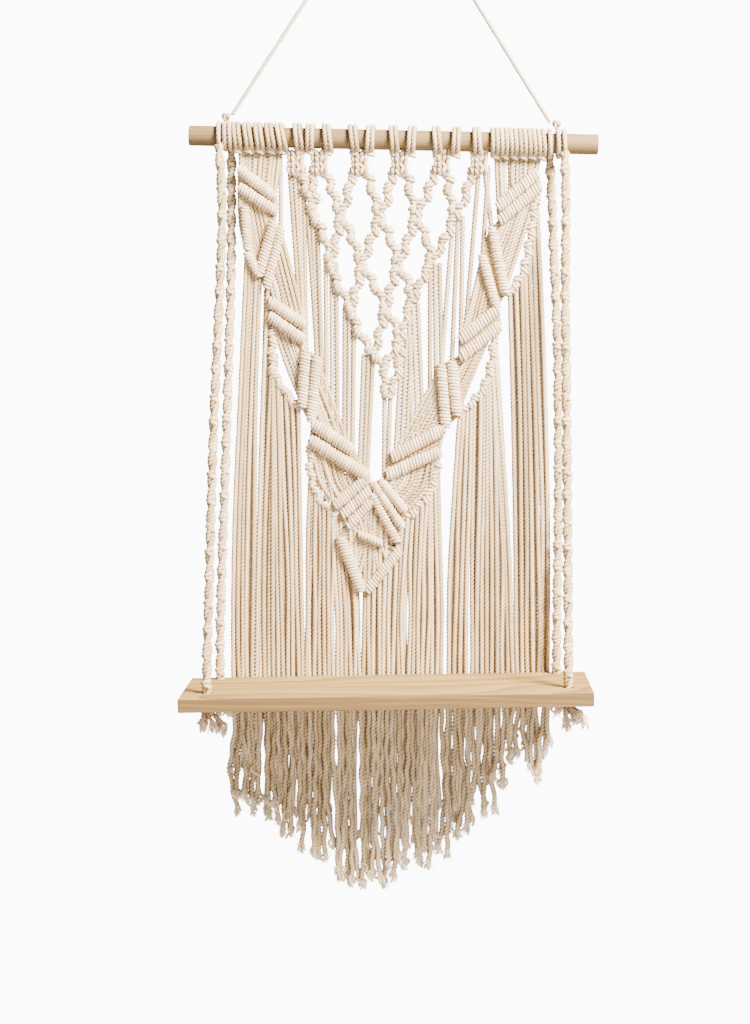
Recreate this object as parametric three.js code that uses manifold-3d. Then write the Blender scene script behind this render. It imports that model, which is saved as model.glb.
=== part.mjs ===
// Macrame wall shelf with hanging rod, in millimetres, +Z up.
// The origin is the top of the hanging cord's bend, where a wall hook carries it.
// X runs to the viewer's right and Y runs away from the viewer, into the wall.
// A "drop" is a distance straight down from the hook, so a point's height is minus its drop.

import * as THREE from "three";
import * as BufferGeometryUtils from "three/addons/utils/BufferGeometryUtils.js";
import Module from "manifold-3d";

// Driving sizes

const FIT_GAP = 0.3;

const ROD = { radius: 10.5, length: 428, x: 1, drop: 269.6, tilt: 1.39, sides: 24 };
const BOARD = { width: 420, depth: 130, thick: 14, x: -4.3, drop: 834.5, backY: -3.5, tilt: 1.21 };
const HOLE_RADIUS = 5.6;
const HOLE_SIDES = 12;

const STRAND = 4.4;
const STRAND_Y = 1.2;
const FAN_Y = 0.6;
const LOOP_CORD = 4.6;
const LOOP_SIDES = 8;
const BAR = { width: 11, pitch: 10, ridge: -5.2, valley: -3.6, back: 4.4 };
const EDGE_CHAIN = { width: 9.5, pitch: 13, ridge: -5, valley: -2.8, back: 4.2 };
const KNOT_CHAIN = { width: 9, pitch: 18, ridge: -5, valley: -2.6, back: 4.2 };
const HEAD_REACH = 11;
const HEAD_SHAPE = { width: 14, pitch: 7, ridge: -6.5, valley: -4.5, back: 5 };
const PLEAT = { front: -1.6, valley: 0, back: 2.2 };

const CORD_RADIUS = 2;
const CORD_STEPS = 52;
const CORD_SIDES = 8;

const ROPE = { radius: 4.6, valley: 0.72, topShare: 0.6, sides: 5, sway: 0.9, ring: 5.2 };
const ROPE_START_DROP = 9;
const ROPE_START_Y = 10.5;
const STOP_KNOT = { radius: 9, high: 5, gap: 0.5 };
const TASSEL = { locks: 5, size: 3.6, length: 26, shorter: 4, rootRadius: 3, rootDrop: 1, tipRadius: 8 };
const TIE_KNOT = { radius: 5.5, high: 4.5, above: 20, ring: 5.2 };
const TIP_STAGGER = { second: 9, third: 6 };
const CHAIN_LAP = 2;

const COTTON = { color: 0xe6d7c1, roughness: 0.95, metalness: 0 };
const CORD_COTTON = { color: 0xe9dfce, roughness: 0.95, metalness: 0 };
const PINE = { color: 0xdcc39d, roughness: 0.6, metalness: 0 };

// The hanging cord: straight runs from each tie to the round bend over the hook, left to right

const CORD_ROUTE = [
  { x: -167.8, drop: 243.4 },
  { x: -160.2, drop: 232 },
  { x: -132.4, drop: 190 },
  { x: -105.9, drop: 150 },
  { x: -79.4, drop: 110 },
  { x: -53, drop: 70 },
  { x: -26.5, drop: 30 },
  { x: -15.9, drop: 14 },
  { x: -11.9, drop: 8.6 },
  { x: -8.7, drop: 5 },
  { x: -4.6, drop: 2.8 },
  { x: 0, drop: 2 },
  { x: 4.6, drop: 2.8 },
  { x: 8.7, drop: 5 },
  { x: 11.7, drop: 8.6 },
  { x: 15.1, drop: 14 },
  { x: 28.9, drop: 36 },
  { x: 52.8, drop: 74 },
  { x: 78.6, drop: 115 },
  { x: 103.8, drop: 155 },
  { x: 128.9, drop: 195 },
  { x: 153.5, drop: 234 },
  { x: 164.9, drop: 252.1 },
];

// Loops of strand over the rod, left to right: centre, width along the rod and turns side by side

const ROD_LOOPS = [
  { x: -139, width: 50, turns: 4 },
  { x: -98, width: 9, turns: 1 },
  { x: -86, width: 7, turns: 1 },
  { x: -67.5, width: 9, turns: 1 },
  { x: -40, width: 8, turns: 1 },
  { x: -23, width: 9, turns: 1 },
  { x: 2, width: 12, turns: 1 },
  { x: 20, width: 9, turns: 1 },
  { x: 47, width: 10, turns: 1 },
  { x: 66.5, width: 10, turns: 1 },
  { x: 88.5, width: 11, turns: 1 },
  { x: 131.5, width: 55, turns: 4 },
];

// Knots just under the rod, where two loops join into the net

const HEADS = {
  h1: { x: -107, drop: 289 },
  h2: { x: -75, drop: 290 },
  h3: { x: -32, drop: 291 },
  h4: { x: 9, drop: 291 },
  h5: { x: 53, drop: 293 },
  h6: { x: 95, drop: 294 },
};

// Places where the net's knotted chains meet

const NET = {
  ...HEADS,
  j1: { x: -83, drop: 347 },
  j2: { x: -53, drop: 348 },
  j3: { x: -14, drop: 349 },
  j4: { x: 23, drop: 347 },
  j5: { x: 68, drop: 350 },
  k1: { x: -66, drop: 391 },
  k2: { x: -32, drop: 394 },
  k3: { x: 8, drop: 393 },
  k4: { x: 39, drop: 394 },
  m1: { x: -44, drop: 440 },
  m2: { x: -8, drop: 441 },
  m3: { x: 26, drop: 431 },
  n1: { x: -25, drop: 490 },
  n2: { x: 7, drop: 487 },
  t0: { x: -6, drop: 502 },
  t1: { x: -4, drop: 538 },
};

// Chains of the net: the two places each joins, and how far its middle bows to the right

const NET_CHAINS = [
  { from: "h1", to: "j1", bow: 2 },
  { from: "h2", to: "j1", bow: -2 },
  { from: "h2", to: "j2", bow: 2 },
  { from: "h3", to: "j2", bow: -2 },
  { from: "h3", to: "j3", bow: 2 },
  { from: "h4", to: "j3", bow: -2 },
  { from: "h4", to: "j4", bow: 2 },
  { from: "h5", to: "j4", bow: -2 },
  { from: "h5", to: "j5", bow: 2 },
  { from: "h6", to: "j5", bow: -2 },
  { from: "j1", to: "k1", bow: 1 },
  { from: "j2", to: "k1", bow: -2 },
  { from: "j2", to: "k2", bow: 2 },
  { from: "j3", to: "k2", bow: -2 },
  { from: "j3", to: "k3", bow: 2 },
  { from: "j4", to: "k3", bow: -2 },
  { from: "j4", to: "k4", bow: 2 },
  { from: "j5", to: "k4", bow: -2 },
  { from: "k1", to: "m1", bow: 1 },
  { from: "k2", to: "m1", bow: -2 },
  { from: "k2", to: "m2", bow: 2 },
  { from: "k3", to: "m2", bow: -2 },
  { from: "k3", to: "m3", bow: 1 },
  { from: "k4", to: "m3", bow: -2 },
  { from: "m1", to: "n1", bow: -1 },
  { from: "m2", to: "n1", bow: -2 },
  { from: "m2", to: "n2", bow: 3 },
  { from: "m3", to: "n2", bow: 3 },
  { from: "n1", to: "t0", bow: 0 },
  { from: "n2", to: "t0", bow: 0 },
  { from: "t0", to: "t1", bow: 0 },
];

// Ridged bars of the two zigzag bands and the diamond, each from one end to the other

const BARS = {
  left1: { x0: -166, drop0: 297, x1: -123, drop1: 332 },
  left2: { x0: -162, drop0: 313, x1: -120, drop1: 348 },
  left3: { x0: -120, drop0: 352, x1: -138, drop1: 407 },
  left4: { x0: -114, drop0: 365, x1: -133, drop1: 418 },
  leftEdge: { x0: -156, drop0: 350, x1: -151, drop1: 389 },
  leftHeel: { x0: -151, drop0: 387, x1: -137, drop1: 408 },
  left5: { x0: -131, drop0: 440, x1: -90, drop1: 470 },
  left6: { x0: -128, drop0: 456, x1: -87, drop1: 480 },
  left7: { x0: -90, drop0: 492, x1: -96, drop1: 546 },
  left8: { x0: -83, drop0: 498, x1: -87, drop1: 562 },
  left9: { x0: -86, drop0: 566, x1: -41, drop1: 599 },
  left10: { x0: -84, drop0: 584, x1: -28, drop1: 623 },
  right1: { x0: 157, drop0: 299, x1: 114, drop1: 340 },
  right2: { x0: 154, drop0: 313, x1: 109, drop1: 353 },
  right3: { x0: 106, drop0: 357, x1: 119, drop1: 427 },
  right4: { x0: 98, drop0: 386, x1: 115, drop1: 439 },
  right5: { x0: 113, drop0: 441, x1: 70, drop1: 476 },
  right6: { x0: 108, drop0: 457, x1: 68, drop1: 490 },
  right7: { x0: 50, drop0: 510, x1: 58, drop1: 575 },
  right8: { x0: 62, drop0: 498, x1: 68, drop1: 556 },
  right9: { x0: 56, drop0: 574, x1: 0, drop1: 603 },
  right10: { x0: 51, drop0: 592, x1: 0, drop1: 617 },
  diamond1: { x0: -63, drop0: 657, x1: -29, drop1: 621 },
  diamond2: { x0: -57, drop0: 669, x1: -22, drop1: 632 },
  diamond3: { x0: -52, drop0: 679, x1: -22, drop1: 645 },
  diamond4: { x0: -20, drop0: 623, x1: 16, drop1: 667 },
  diamond5: { x0: -18, drop0: 635, x1: 13, drop1: 685 },
  diamond6: { x0: -22, drop0: 644, x1: 8, drop1: 698 },
  diamond7: { x0: -57, drop0: 681, x1: -29, drop1: 742 },
  diamond8: { x0: 9, drop0: 700, x1: -27, drop1: 742 },
  gather: { x0: -39, drop0: 679, x1: -11, drop1: 691 },
};

// Knotted edge chains outside the bands: the places each passes, in order

const EDGE_CHAINS = {
  leftUpper: [{ x: -124, drop: 462 }, { x: -127, drop: 488 }, { x: -126, drop: 510 }, { x: -117, drop: 528 },
    { x: -97, drop: 552 }],
  leftLower: [{ x: -86, drop: 588 }, { x: -86, drop: 622 }, { x: -75, drop: 650 }, { x: -60, drop: 663 }],
  rightTop: [{ x: 152, drop: 316 }, { x: 145, drop: 370 }, { x: 136, drop: 410 }, { x: 120, drop: 432 }],
  rightMiddle: [{ x: 107, drop: 461 }, { x: 106, drop: 495 }, { x: 96, drop: 530 }, { x: 70, drop: 558 }],
  rightLower: [{ x: 50, drop: 597 }, { x: 40, drop: 640 }, { x: 17, drop: 666 }],
};

// Lines just under the rod, inside its close-wound loops, that the bands' first strands leave

const ROD_LINES = {
  rodLeft: { x0: -160, drop0: 279.2, x1: -116, drop1: 280.2 },
  rodRight: { x0: 155, drop0: 286.5, x1: 108, drop1: 285.5 },
};

// Fans of strand side by side, one pleat for two or three strands. Each leaves a named line
// between two shares of its length, and runs to another line between two shares of its own.

const FANS = [
  { pleats: 3, from: "rodLeft", a: 0.05, b: 0.9, to: "left1", toA: 0.12, toB: 0.92 },
  { pleats: 3, from: "left2", a: 0.15, b: 0.95, to: "left3", toA: 0.93, toB: 0.08 },
  { pleats: 3, from: "left4", a: 0.95, b: 0.08, to: "left5", toA: 0.05, toB: 0.95 },
  { pleats: 3, from: "left6", a: 0.08, b: 0.95, to: "left7", toA: 0.95, toB: 0.05 },
  { pleats: 3, from: "left8", a: 0.95, b: 0.05, to: "left9", toA: 0.06, toB: 0.92 },
  { pleats: 3, from: "left10", a: 0.06, b: 0.92, to: "diamond1", toA: 0.04, toB: 0.9 },
  { pleats: 3, from: "rodRight", a: 0.05, b: 0.95, to: "right1", toA: 0.06, toB: 0.93 },
  { pleats: 3, from: "right2", a: 0.08, b: 0.95, to: "right3", toA: 0.95, toB: 0.05 },
  { pleats: 3, from: "right4", a: 0.95, b: 0.05, to: "right5", toA: 0.05, toB: 0.95 },
  { pleats: 3, from: "right6", a: 0.25, b: 0.95, to: "right8", toA: 0.95, toB: 0.05 },
  { pleats: 3, from: "right7", a: 0.95, b: 0.05, to: "right9", toA: 0.05, toB: 0.95 },
  { pleats: 3, from: "right10", a: 0.08, b: 0.95, to: "diamond4", toA: 0.95, toB: 0.1 },
  { pleats: 3, from: "diamond3", a: 0.1, b: 0.95, to: "gather", toA: 0.1, toB: 0.5 },
  { pleats: 3, from: "diamond6", a: 0.05, b: 0.9, to: "gather", toA: 0.5, toB: 0.9 },
  { pleats: 3, from: "gather", a: 0.1, b: 0.5, to: "diamond7", toA: 0.1, toB: 0.95 },
  { pleats: 3, from: "gather", a: 0.5, b: 0.9, to: "diamond8", toA: 0.95, toB: 0.1 },
];

// Strands that leave a meeting place of the net, or an end of a line, and hang apart
// as far as a bar: shift is how far to the right of that place, and share is where on the bar they end

const NET_STRANDS = [
  { from: "h1", shift: -3, to: "left5", share: 0.92 },
  { from: "h1", shift: 2, to: "left6", share: 0.97 },
  { from: "h1", shift: 6, to: "left7", share: 0.03 },
  { from: "j1", shift: -2, to: "left8", share: 0.03 },
  { from: "k1", shift: -3, to: "left9", share: 0.38 },
  { from: "k1", shift: 2, to: "left9", share: 0.5 },
  { from: "m1", shift: -3, to: "left9", share: 0.85 },
  { from: "m1", shift: 2, to: "left9", share: 0.95 },
  { from: "n1", shift: -8, to: "left10", share: 0.88 },
  { from: "n1", shift: -2, to: "left10", share: 0.97 },
  { from: "t1", shift: -3, to: "diamond4", share: 0.16 },
  { from: "t1", shift: 3, to: "right10", share: 0.97 },
  { from: "n2", shift: 2, to: "right9", share: 0.86 },
  { from: "n2", shift: 8, to: "right9", share: 0.72 },
  { from: "m3", shift: 0, to: "right9", share: 0.52 },
  { from: "m3", shift: 5, to: "right9", share: 0.4 },
  { from: "k4", shift: 1, to: "right9", share: 0.25 },
  { from: "k4", shift: 6, to: "right7", share: 0.05 },
  { from: "j5", shift: -1, to: "right7", share: 0.02 },
  { from: "j5", shift: 4, to: "right8", share: 0.02 },
  { from: "j5", shift: 9, to: "right6", share: 0.97 },
  { from: "h6", shift: 5, to: "right3", share: 0.03 },
  { from: "h6", shift: 9, to: "right4", share: 0.05 },
];

// Strands between two named lines, at one share of each

const BAND_STRANDS = [
  { from: "rodLeft", share: 0.97, to: "left4", toShare: 0.06 },
  { from: "left2", share: 0.05, to: "leftEdge", toShare: 0.05 },
  { from: "left5", share: 0.3, to: "left6", toShare: 0.3 },
  { from: "left9", share: 0.3, to: "left10", toShare: 0.3 },
  { from: "right3", share: 0.4, to: "right4", toShare: 0.1 },
  { from: "right8", share: 0.8, to: "right7", toShare: 0.8 },
  { from: "right9", share: 0.4, to: "right10", toShare: 0.4 },
  { from: "diamond1", share: 0.5, to: "diamond2", toShare: 0.5 },
];

// Strands that fall past the board into the fringe, left to right: how many, the line they leave
// between two shares of its length, and where the first and last pass behind the board

const FALLS = [
  { count: 4, from: "leftHeel", a: 0.05, b: 0.9, boardX0: -167, boardX1: -149 },
  { count: 9, from: "leftUpper", a: 0.4, b: 0.97, boardX0: -143, boardX1: -96 },
  { count: 6, from: "leftLower", a: 0.35, b: 0.96, boardX0: -90, boardX1: -62 },
  { count: 5, from: "diamond7", a: 0.1, b: 0.85, boardX0: -56, boardX1: -34 },
  { count: 7, from: "diamond8", a: 0.96, b: 0.06, boardX0: -28, boardX1: 7 },
  { count: 8, from: "rightLower", a: 0.97, b: 0.1, boardX0: 13, boardX1: 53 },
  { count: 4, from: "rightMiddle", a: 0.98, b: 0.82, boardX0: 60, boardX1: 81 },
  { count: 8, from: "rightMiddle", a: 0.76, b: 0.12, boardX0: 88, boardX1: 127 },
  { count: 5, from: "rightTop", a: 0.92, b: 0.4, boardX0: 133, boardX1: 156 },
  { count: 2, from: "rightTop", a: 0.2, b: 0.05, boardX0: 161, boardX1: 167 },
];

// The fringe's lower edge: tips of the longest strands, left to right

const FRINGE_TIPS = [
  { x: -168, drop: 978 },
  { x: -156, drop: 968 },
  { x: -140, drop: 983 },
  { x: -127, drop: 982 },
  { x: -117, drop: 1007 },
  { x: -99, drop: 997 },
  { x: -87, drop: 1034 },
  { x: -68, drop: 1035 },
  { x: -50, drop: 1065 },
  { x: -33, drop: 1056 },
  { x: -8, drop: 1063 },
  { x: 17, drop: 1030 },
  { x: 31, drop: 1040 },
  { x: 59, drop: 1029 },
  { x: 65, drop: 1000 },
  { x: 76, drop: 1019 },
  { x: 87, drop: 980 },
  { x: 105, drop: 991 },
  { x: 112, drop: 961 },
  { x: 134, drop: 912 },
  { x: 156, drop: 949 },
  { x: 168, drop: 914 },
];

// Side ropes: the loop on the rod, the knots' pitch, and the way down to the board's hole

const ROPES = {
  left_front: {
    loopX: -181, side: -1, pitch: 28,
    way: [{ x: -179, y: -14, drop: 296 }, { x: -177, y: -20, drop: 333 }, { x: -179, y: -34, drop: 436 },
      { x: -183, y: -49, drop: 540 }, { x: -187, y: -82, drop: 744 }, { x: -188, y: -98, drop: 828 }],
  },
  left_rear: {
    loopX: -169.5, side: 1, pitch: 28,
    way: [{ x: -169.5, y: 10, drop: 296 }, { x: -170, y: 7, drop: 383 }, { x: -176, y: -1, drop: 584 },
      { x: -183, y: -12, drop: 828 }],
  },
  right_front: {
    loopX: 179.5, side: -1, pitch: 19,
    way: [{ x: 180, y: -14, drop: 297 }, { x: 180, y: -34, drop: 437 }, { x: 181, y: -49, drop: 540 },
      { x: 182, y: -82, drop: 743 }, { x: 182, y: -98, drop: 820 }],
  },
  right_rear: {
    loopX: 164.5, side: 1, pitch: 19,
    way: [{ x: 166, y: 12, drop: 300 }, { x: 170, y: 10, drop: 384 }, { x: 174, y: 6, drop: 468 },
      { x: 176, y: 1, drop: 583 }, { x: 175, y: -12, drop: 820 }],
  },
};

const TIES = { left: { x: -175, knotX: -174 }, right: { x: 173, knotX: 171.5 } };

// Helpers

const wasm = await Module();
wasm.setup();

function signedVolume(position, index) {
  let volume = 0;
  const a = new THREE.Vector3();
  const b = new THREE.Vector3();
  const c = new THREE.Vector3();
  for (let i = 0; i < index.length; i += 3) {
    a.fromBufferAttribute(position, index[i]);
    b.fromBufferAttribute(position, index[i + 1]);
    c.fromBufferAttribute(position, index[i + 2]);
    volume += a.dot(b.cross(c)) / 6;
  }
  return volume;
}

// A closed mesh becomes a solid: shared points are merged, collapsed faces are left out,
// and the faces are turned to point outwards
function toSolid(geometry) {
  const bare = geometry.clone();
  bare.deleteAttribute("normal");
  bare.deleteAttribute("uv");
  const merged = BufferGeometryUtils.mergeVertices(bare, 1e-4);
  const faces = [];
  const all = merged.index.array;
  for (let i = 0; i < all.length; i += 3) {
    const face = [all[i], all[i + 1], all[i + 2]];
    if (new Set(face).size === 3) {
      faces.push(...face);
    }
  }
  if (signedVolume(merged.attributes.position, faces) < 0) {
    faces.reverse();
  }
  const vertProperties = new Float32Array(merged.attributes.position.array);
  const triVerts = new Uint32Array(faces);
  return new wasm.Manifold(new wasm.Mesh({ numProp: 3, vertProperties, triVerts }));
}

function joined(solids) {
  return solids.reduce((whole, next) => whole.add(next));
}

function toGeometry(solid) {
  const mesh = solid.getMesh();
  const geometry = new THREE.BufferGeometry();
  const points = [];
  for (let i = 0; i < mesh.vertProperties.length; i += mesh.numProp) {
    points.push(mesh.vertProperties[i], mesh.vertProperties[i + 1], mesh.vertProperties[i + 2]);
  }
  geometry.setAttribute("position", new THREE.Float32BufferAttribute(points, 3));
  geometry.setIndex([...mesh.triVerts]);
  geometry.computeVertexNormals();
  return geometry;
}

function piece(name, geometry, look) {
  const mesh = new THREE.Mesh(geometry, new THREE.MeshStandardMaterial(look));
  mesh.name = name;
  return mesh;
}

function place(x, drop, y = 0) {
  return new THREE.Vector3(x, y, -drop);
}

function mix(a, b, t) {
  return a + (b - a) * t;
}

// Drop of the rod's axis at a place along it
function rodDrop(x) {
  return ROD.drop + (x - ROD.x) * Math.tan(THREE.MathUtils.degToRad(ROD.tilt));
}

// Drop of the board's top face at a place along it
function boardDrop(x) {
  return BOARD.drop - (x - BOARD.x) * Math.tan(THREE.MathUtils.degToRad(BOARD.tilt));
}

// A bar of hitches or a chain of knots between two points: its front is a row of ridges, its sides,
// where strands enter and leave, are flat, and its middle may bow aside, to the right of a way down
function ridged(from, to, { width, pitch, ridge, valley, back }, bow = 0) {
  const way = new THREE.Vector3().subVectors(to, from);
  const length = way.length();
  const ridges = Math.max(2, Math.round(length / pitch));
  const section = new THREE.Shape();
  section.moveTo(0, valley);
  for (let i = 0; i < ridges; i += 1) {
    section.lineTo(((i + 0.5) * length) / ridges, ridge);
    section.lineTo(((i + 1) * length) / ridges, valley);
  }
  section.lineTo(length, back);
  section.lineTo(0, back);
  section.closePath();
  const geometry = new THREE.ExtrudeGeometry(section, { depth: width, bevelEnabled: false });
  geometry.translate(0, 0, -width / 2);
  const points = geometry.attributes.position;
  for (let i = 0; i < points.count; i += 1) {
    points.setZ(i, points.getZ(i) + bow * Math.sin((points.getX(i) / length) * Math.PI));
  }
  const along = way.normalize();
  const inward = new THREE.Vector3(0, 1, 0);
  const basis = new THREE.Matrix4().makeBasis(along, inward, along.clone().cross(inward));
  geometry.applyMatrix4(basis);
  geometry.translate(from.x, from.y, from.z);
  return toSolid(geometry);
}

// A straight or bent strand of three sides through its points
function strand(points, steps, size = STRAND) {
  const section = new THREE.Shape();
  section.moveTo(size / 2, 0);
  section.lineTo(-size / 4, size / 2);
  section.lineTo(-size / 4, -size / 2);
  section.closePath();
  const extrudePath = points.length === 2
    ? new THREE.LineCurve3(points[0], points[1])
    : new THREE.CatmullRomCurve3(points, false, "centripetal");
  return toSolid(new THREE.ExtrudeGeometry(section, { steps, extrudePath, bevelEnabled: false }));
}

// Turns of cord round the rod: a ring whose outside has a ridge for each turn
function rodLoop(x, width, turns, cord = LOOP_CORD) {
  const inner = (ROD.radius + FIT_GAP) / Math.cos(Math.PI / LOOP_SIDES);
  const outer = inner + cord;
  const step = width / turns;
  const profile = [new THREE.Vector2(inner, 0)];
  for (let i = 0; i < turns; i += 1) {
    profile.push(new THREE.Vector2(outer - cord * 0.4, i * step));
    profile.push(new THREE.Vector2(outer, (i + 0.5) * step));
  }
  profile.push(new THREE.Vector2(outer - cord * 0.4, width));
  profile.push(new THREE.Vector2(inner, width));
  profile.push(new THREE.Vector2(inner, 0));
  const geometry = new THREE.LatheGeometry(profile, LOOP_SIDES);
  geometry.translate(0, -width / 2, 0);
  geometry.rotateZ(-Math.PI / 2);
  geometry.rotateY(THREE.MathUtils.degToRad(ROD.tilt));
  geometry.translate(x, 0, -rodDrop(x));
  return toSolid(geometry);
}

// A round knot, flattened to its height and depth
function knot(centre, radius, high, deep, round = 6, up = 4) {
  const geometry = new THREE.SphereGeometry(radius, round, up);
  geometry.rotateX(Math.PI / 2);
  geometry.scale(1, deep / radius, high / radius);
  geometry.translate(centre.x, centre.y, centre.z);
  return toSolid(geometry);
}

// The rod

function makeRod() {
  const geometry = new THREE.CylinderGeometry(ROD.radius, ROD.radius, ROD.length, ROD.sides);
  geometry.rotateZ(-Math.PI / 2);
  const rod = piece("rod", geometry, PINE);
  rod.rotation.y = THREE.MathUtils.degToRad(ROD.tilt);
  rod.position.set(ROD.x, 0, -ROD.drop);
  return rod;
}

// The board, with a drilled hole near each corner for its rope

function makeBoard() {
  const outline = new THREE.Shape();
  outline.moveTo(-BOARD.width / 2, -BOARD.depth);
  outline.lineTo(BOARD.width / 2, -BOARD.depth);
  outline.lineTo(BOARD.width / 2, 0);
  outline.lineTo(-BOARD.width / 2, 0);
  outline.closePath();
  for (const rope of Object.values(ROPES)) {
    const end = rope.way.at(-1);
    const hole = new THREE.Path();
    const holeX = (end.x - BOARD.x) / Math.cos(THREE.MathUtils.degToRad(BOARD.tilt));
    hole.absarc(holeX, end.y - BOARD.backY, HOLE_RADIUS, 0, Math.PI * 2, true);
    outline.holes.push(hole);
  }
  const geometry = new THREE.ExtrudeGeometry(outline, {
    depth: BOARD.thick, bevelEnabled: false, curveSegments: HOLE_SIDES / 2,
  });
  geometry.translate(0, 0, -BOARD.thick);
  const board = piece("board", geometry, PINE);
  board.rotation.y = -THREE.MathUtils.degToRad(BOARD.tilt);
  board.position.set(BOARD.x, BOARD.backY, -BOARD.drop);
  return board;
}

// The macrame: loops, head knots, net, bars, fans and falling strands, fused where they are knotted

function edgeChain(stops) {
  return stops.slice(1).map((stop, i) =>
    ridged(place(stops[i].x, stops[i].drop - CHAIN_LAP), place(stop.x, stop.drop + CHAIN_LAP), EDGE_CHAIN));
}

function netChain({ from, to, bow }) {
  const a = NET[from];
  const b = NET[to];
  return ridged(place(a.x, a.drop), place(b.x, b.drop), KNOT_CHAIN, bow);
}

// The place at a share of a named bar, edge chain or line under the rod
function spot(name, share) {
  if (name in EDGE_CHAINS) {
    const stops = EDGE_CHAINS[name];
    const at = THREE.MathUtils.clamp(share, 0, 0.999) * (stops.length - 1);
    const a = stops[Math.floor(at)];
    const b = stops[Math.floor(at) + 1];
    return { x: mix(a.x, b.x, at % 1), drop: mix(a.drop, b.drop, at % 1) };
  }
  const line = BARS[name] ?? ROD_LINES[name];
  return { x: mix(line.x0, line.x1, share), drop: mix(line.drop0, line.drop1, share) };
}

// Strands that lie side by side are one sheet: a pleated section as wide as 0 to 1,
// drawn out from the line they leave to the line they run to
function fan(row) {
  const section = new THREE.Shape();
  section.moveTo(0, PLEAT.valley);
  for (let i = 1; i <= row.pleats * 2; i += 1) {
    section.lineTo(i / (row.pleats * 2), i % 2 ? PLEAT.front : PLEAT.valley);
  }
  section.lineTo(1, PLEAT.back);
  section.lineTo(0, PLEAT.back);
  section.closePath();
  const geometry = new THREE.ExtrudeGeometry(section, { depth: 1, bevelEnabled: false });
  const points = geometry.attributes.position;
  for (let i = 0; i < points.count; i += 1) {
    const t = points.getX(i);
    const top = spot(row.from, mix(row.a, row.b, t));
    const foot = spot(row.to, mix(row.toA, row.toB, t));
    const s = points.getZ(i);
    points.setXYZ(i, mix(top.x, foot.x, s), points.getY(i), -mix(top.drop, foot.drop, s));
  }
  return toSolid(geometry);
}

function netStrand({ from, shift, to, share }) {
  const top = NET[from];
  const foot = spot(to, share);
  return strand([place(top.x + shift, top.drop, FAN_Y), place(foot.x, foot.drop, FAN_Y)], 1);
}

function bandStrand({ from, share, to, toShare }) {
  const top = spot(from, share);
  const foot = spot(to, toShare);
  return strand([place(top.x, top.drop, FAN_Y), place(foot.x, foot.drop, FAN_Y)], 1);
}

// Drop of the fringe's lower edge at a place along it, each second strand a little shorter
function tipDrop(x, index) {
  const right = Math.max(1, FRINGE_TIPS.findIndex((tip) => tip.x >= x));
  const a = FRINGE_TIPS[right - 1];
  const b = FRINGE_TIPS[right];
  const edge = mix(a.drop, b.drop, THREE.MathUtils.clamp((x - a.x) / (b.x - a.x), 0, 1));
  return edge - TIP_STAGGER.second * (index % 2) - TIP_STAGGER.third * (index % 3);
}

function fall(row) {
  const strands = [];
  for (let i = 0; i < row.count; i += 1) {
    const t = i / (row.count - 1);
    const { x, drop } = spot(row.from, mix(row.a, row.b, t));
    const boardX = mix(row.boardX0, row.boardX1, t);
    const top = place(x, drop, STRAND_Y);
    const middle = place(mix(x, boardX, 0.7), mix(drop, boardDrop(boardX), 0.5), STRAND_Y);
    const tip = place(boardX, tipDrop(boardX, i), STRAND_Y);
    strands.push(strand([top, middle, tip], 2));
  }
  return strands;
}

function makeMacrame() {
  const loops = ROD_LOOPS.map((row) => rodLoop(row.x, row.width, row.turns));
  const heads = Object.values(HEADS).map((head) =>
    ridged(place(head.x - HEAD_REACH, head.drop), place(head.x + HEAD_REACH, head.drop), HEAD_SHAPE));
  const bars = Object.values(BARS).map((bar) =>
    ridged(place(bar.x0, bar.drop0), place(bar.x1, bar.drop1), BAR));
  const whole = joined([
    ...loops,
    ...heads,
    ...NET_CHAINS.map(netChain),
    ...bars,
    ...Object.values(EDGE_CHAINS).flatMap(edgeChain),
    ...FANS.map(fan),
    ...NET_STRANDS.map(netStrand),
    ...BAND_STRANDS.map(bandStrand),
    ...FALLS.flatMap(fall),
  ]);
  return piece("macrame", toGeometry(whole), COTTON);
}

// A side rope: a loop on the rod and a chain of half knots down through the board's hole

function wayPoint(way, drop) {
  const level = Math.min(drop, way.at(-1).drop);
  const next = Math.max(1, way.findIndex((stop) => stop.drop >= level));
  const a = way[next - 1];
  const b = way[next];
  const t = THREE.MathUtils.clamp((level - a.drop) / (b.drop - a.drop), 0, 1);
  return { x: mix(a.x, b.x, t), y: mix(a.y, b.y, t) };
}

function makeRope(name, { loopX, side, pitch, way }) {
  const start = { x: loopX, y: side * ROPE_START_Y, drop: rodDrop(loopX) + ROPE_START_DROP };
  const end = way.at(-1);
  const foot = boardDrop(end.x) + BOARD.thick + FIT_GAP / 2;
  const stops = [start, ...way, { x: end.x, y: end.y, drop: foot }];
  const length = foot - start.drop;
  const knotted = end.drop - start.drop;
  const profile = [new THREE.Vector2(0, 0), new THREE.Vector2(ROPE.radius * ROPE.topShare, 0)];
  for (let at = pitch * 0.25; at < knotted; at += pitch) {
    profile.push(new THREE.Vector2(ROPE.radius, at));
    profile.push(new THREE.Vector2(ROPE.radius * ROPE.valley, Math.min(at + pitch * 0.5, knotted)));
  }
  profile.push(new THREE.Vector2(ROPE.radius, knotted + ROPE.radius));
  profile.push(new THREE.Vector2(ROPE.radius, length));
  profile.push(new THREE.Vector2(0, length));
  const geometry = new THREE.LatheGeometry(profile, ROPE.sides);
  const points = geometry.attributes.position;
  for (let i = 0; i < points.count; i += 1) {
    const along = points.getY(i);
    const at = wayPoint(stops, start.drop + along);
    const sway = ROPE.sway * Math.sin((along / pitch) * Math.PI) * (along < knotted ? 1 : 0);
    points.setXYZ(i, at.x + sway + points.getX(i), at.y - points.getZ(i), -(start.drop + along));
  }
  const rope = joined([rodLoop(loopX, ROPE.ring, 1), toSolid(geometry)]);
  return piece(`rope_${name}`, toGeometry(rope), COTTON);
}

// The stopper knot under a hole, with the rope's own ends combed out as its tassel

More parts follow.
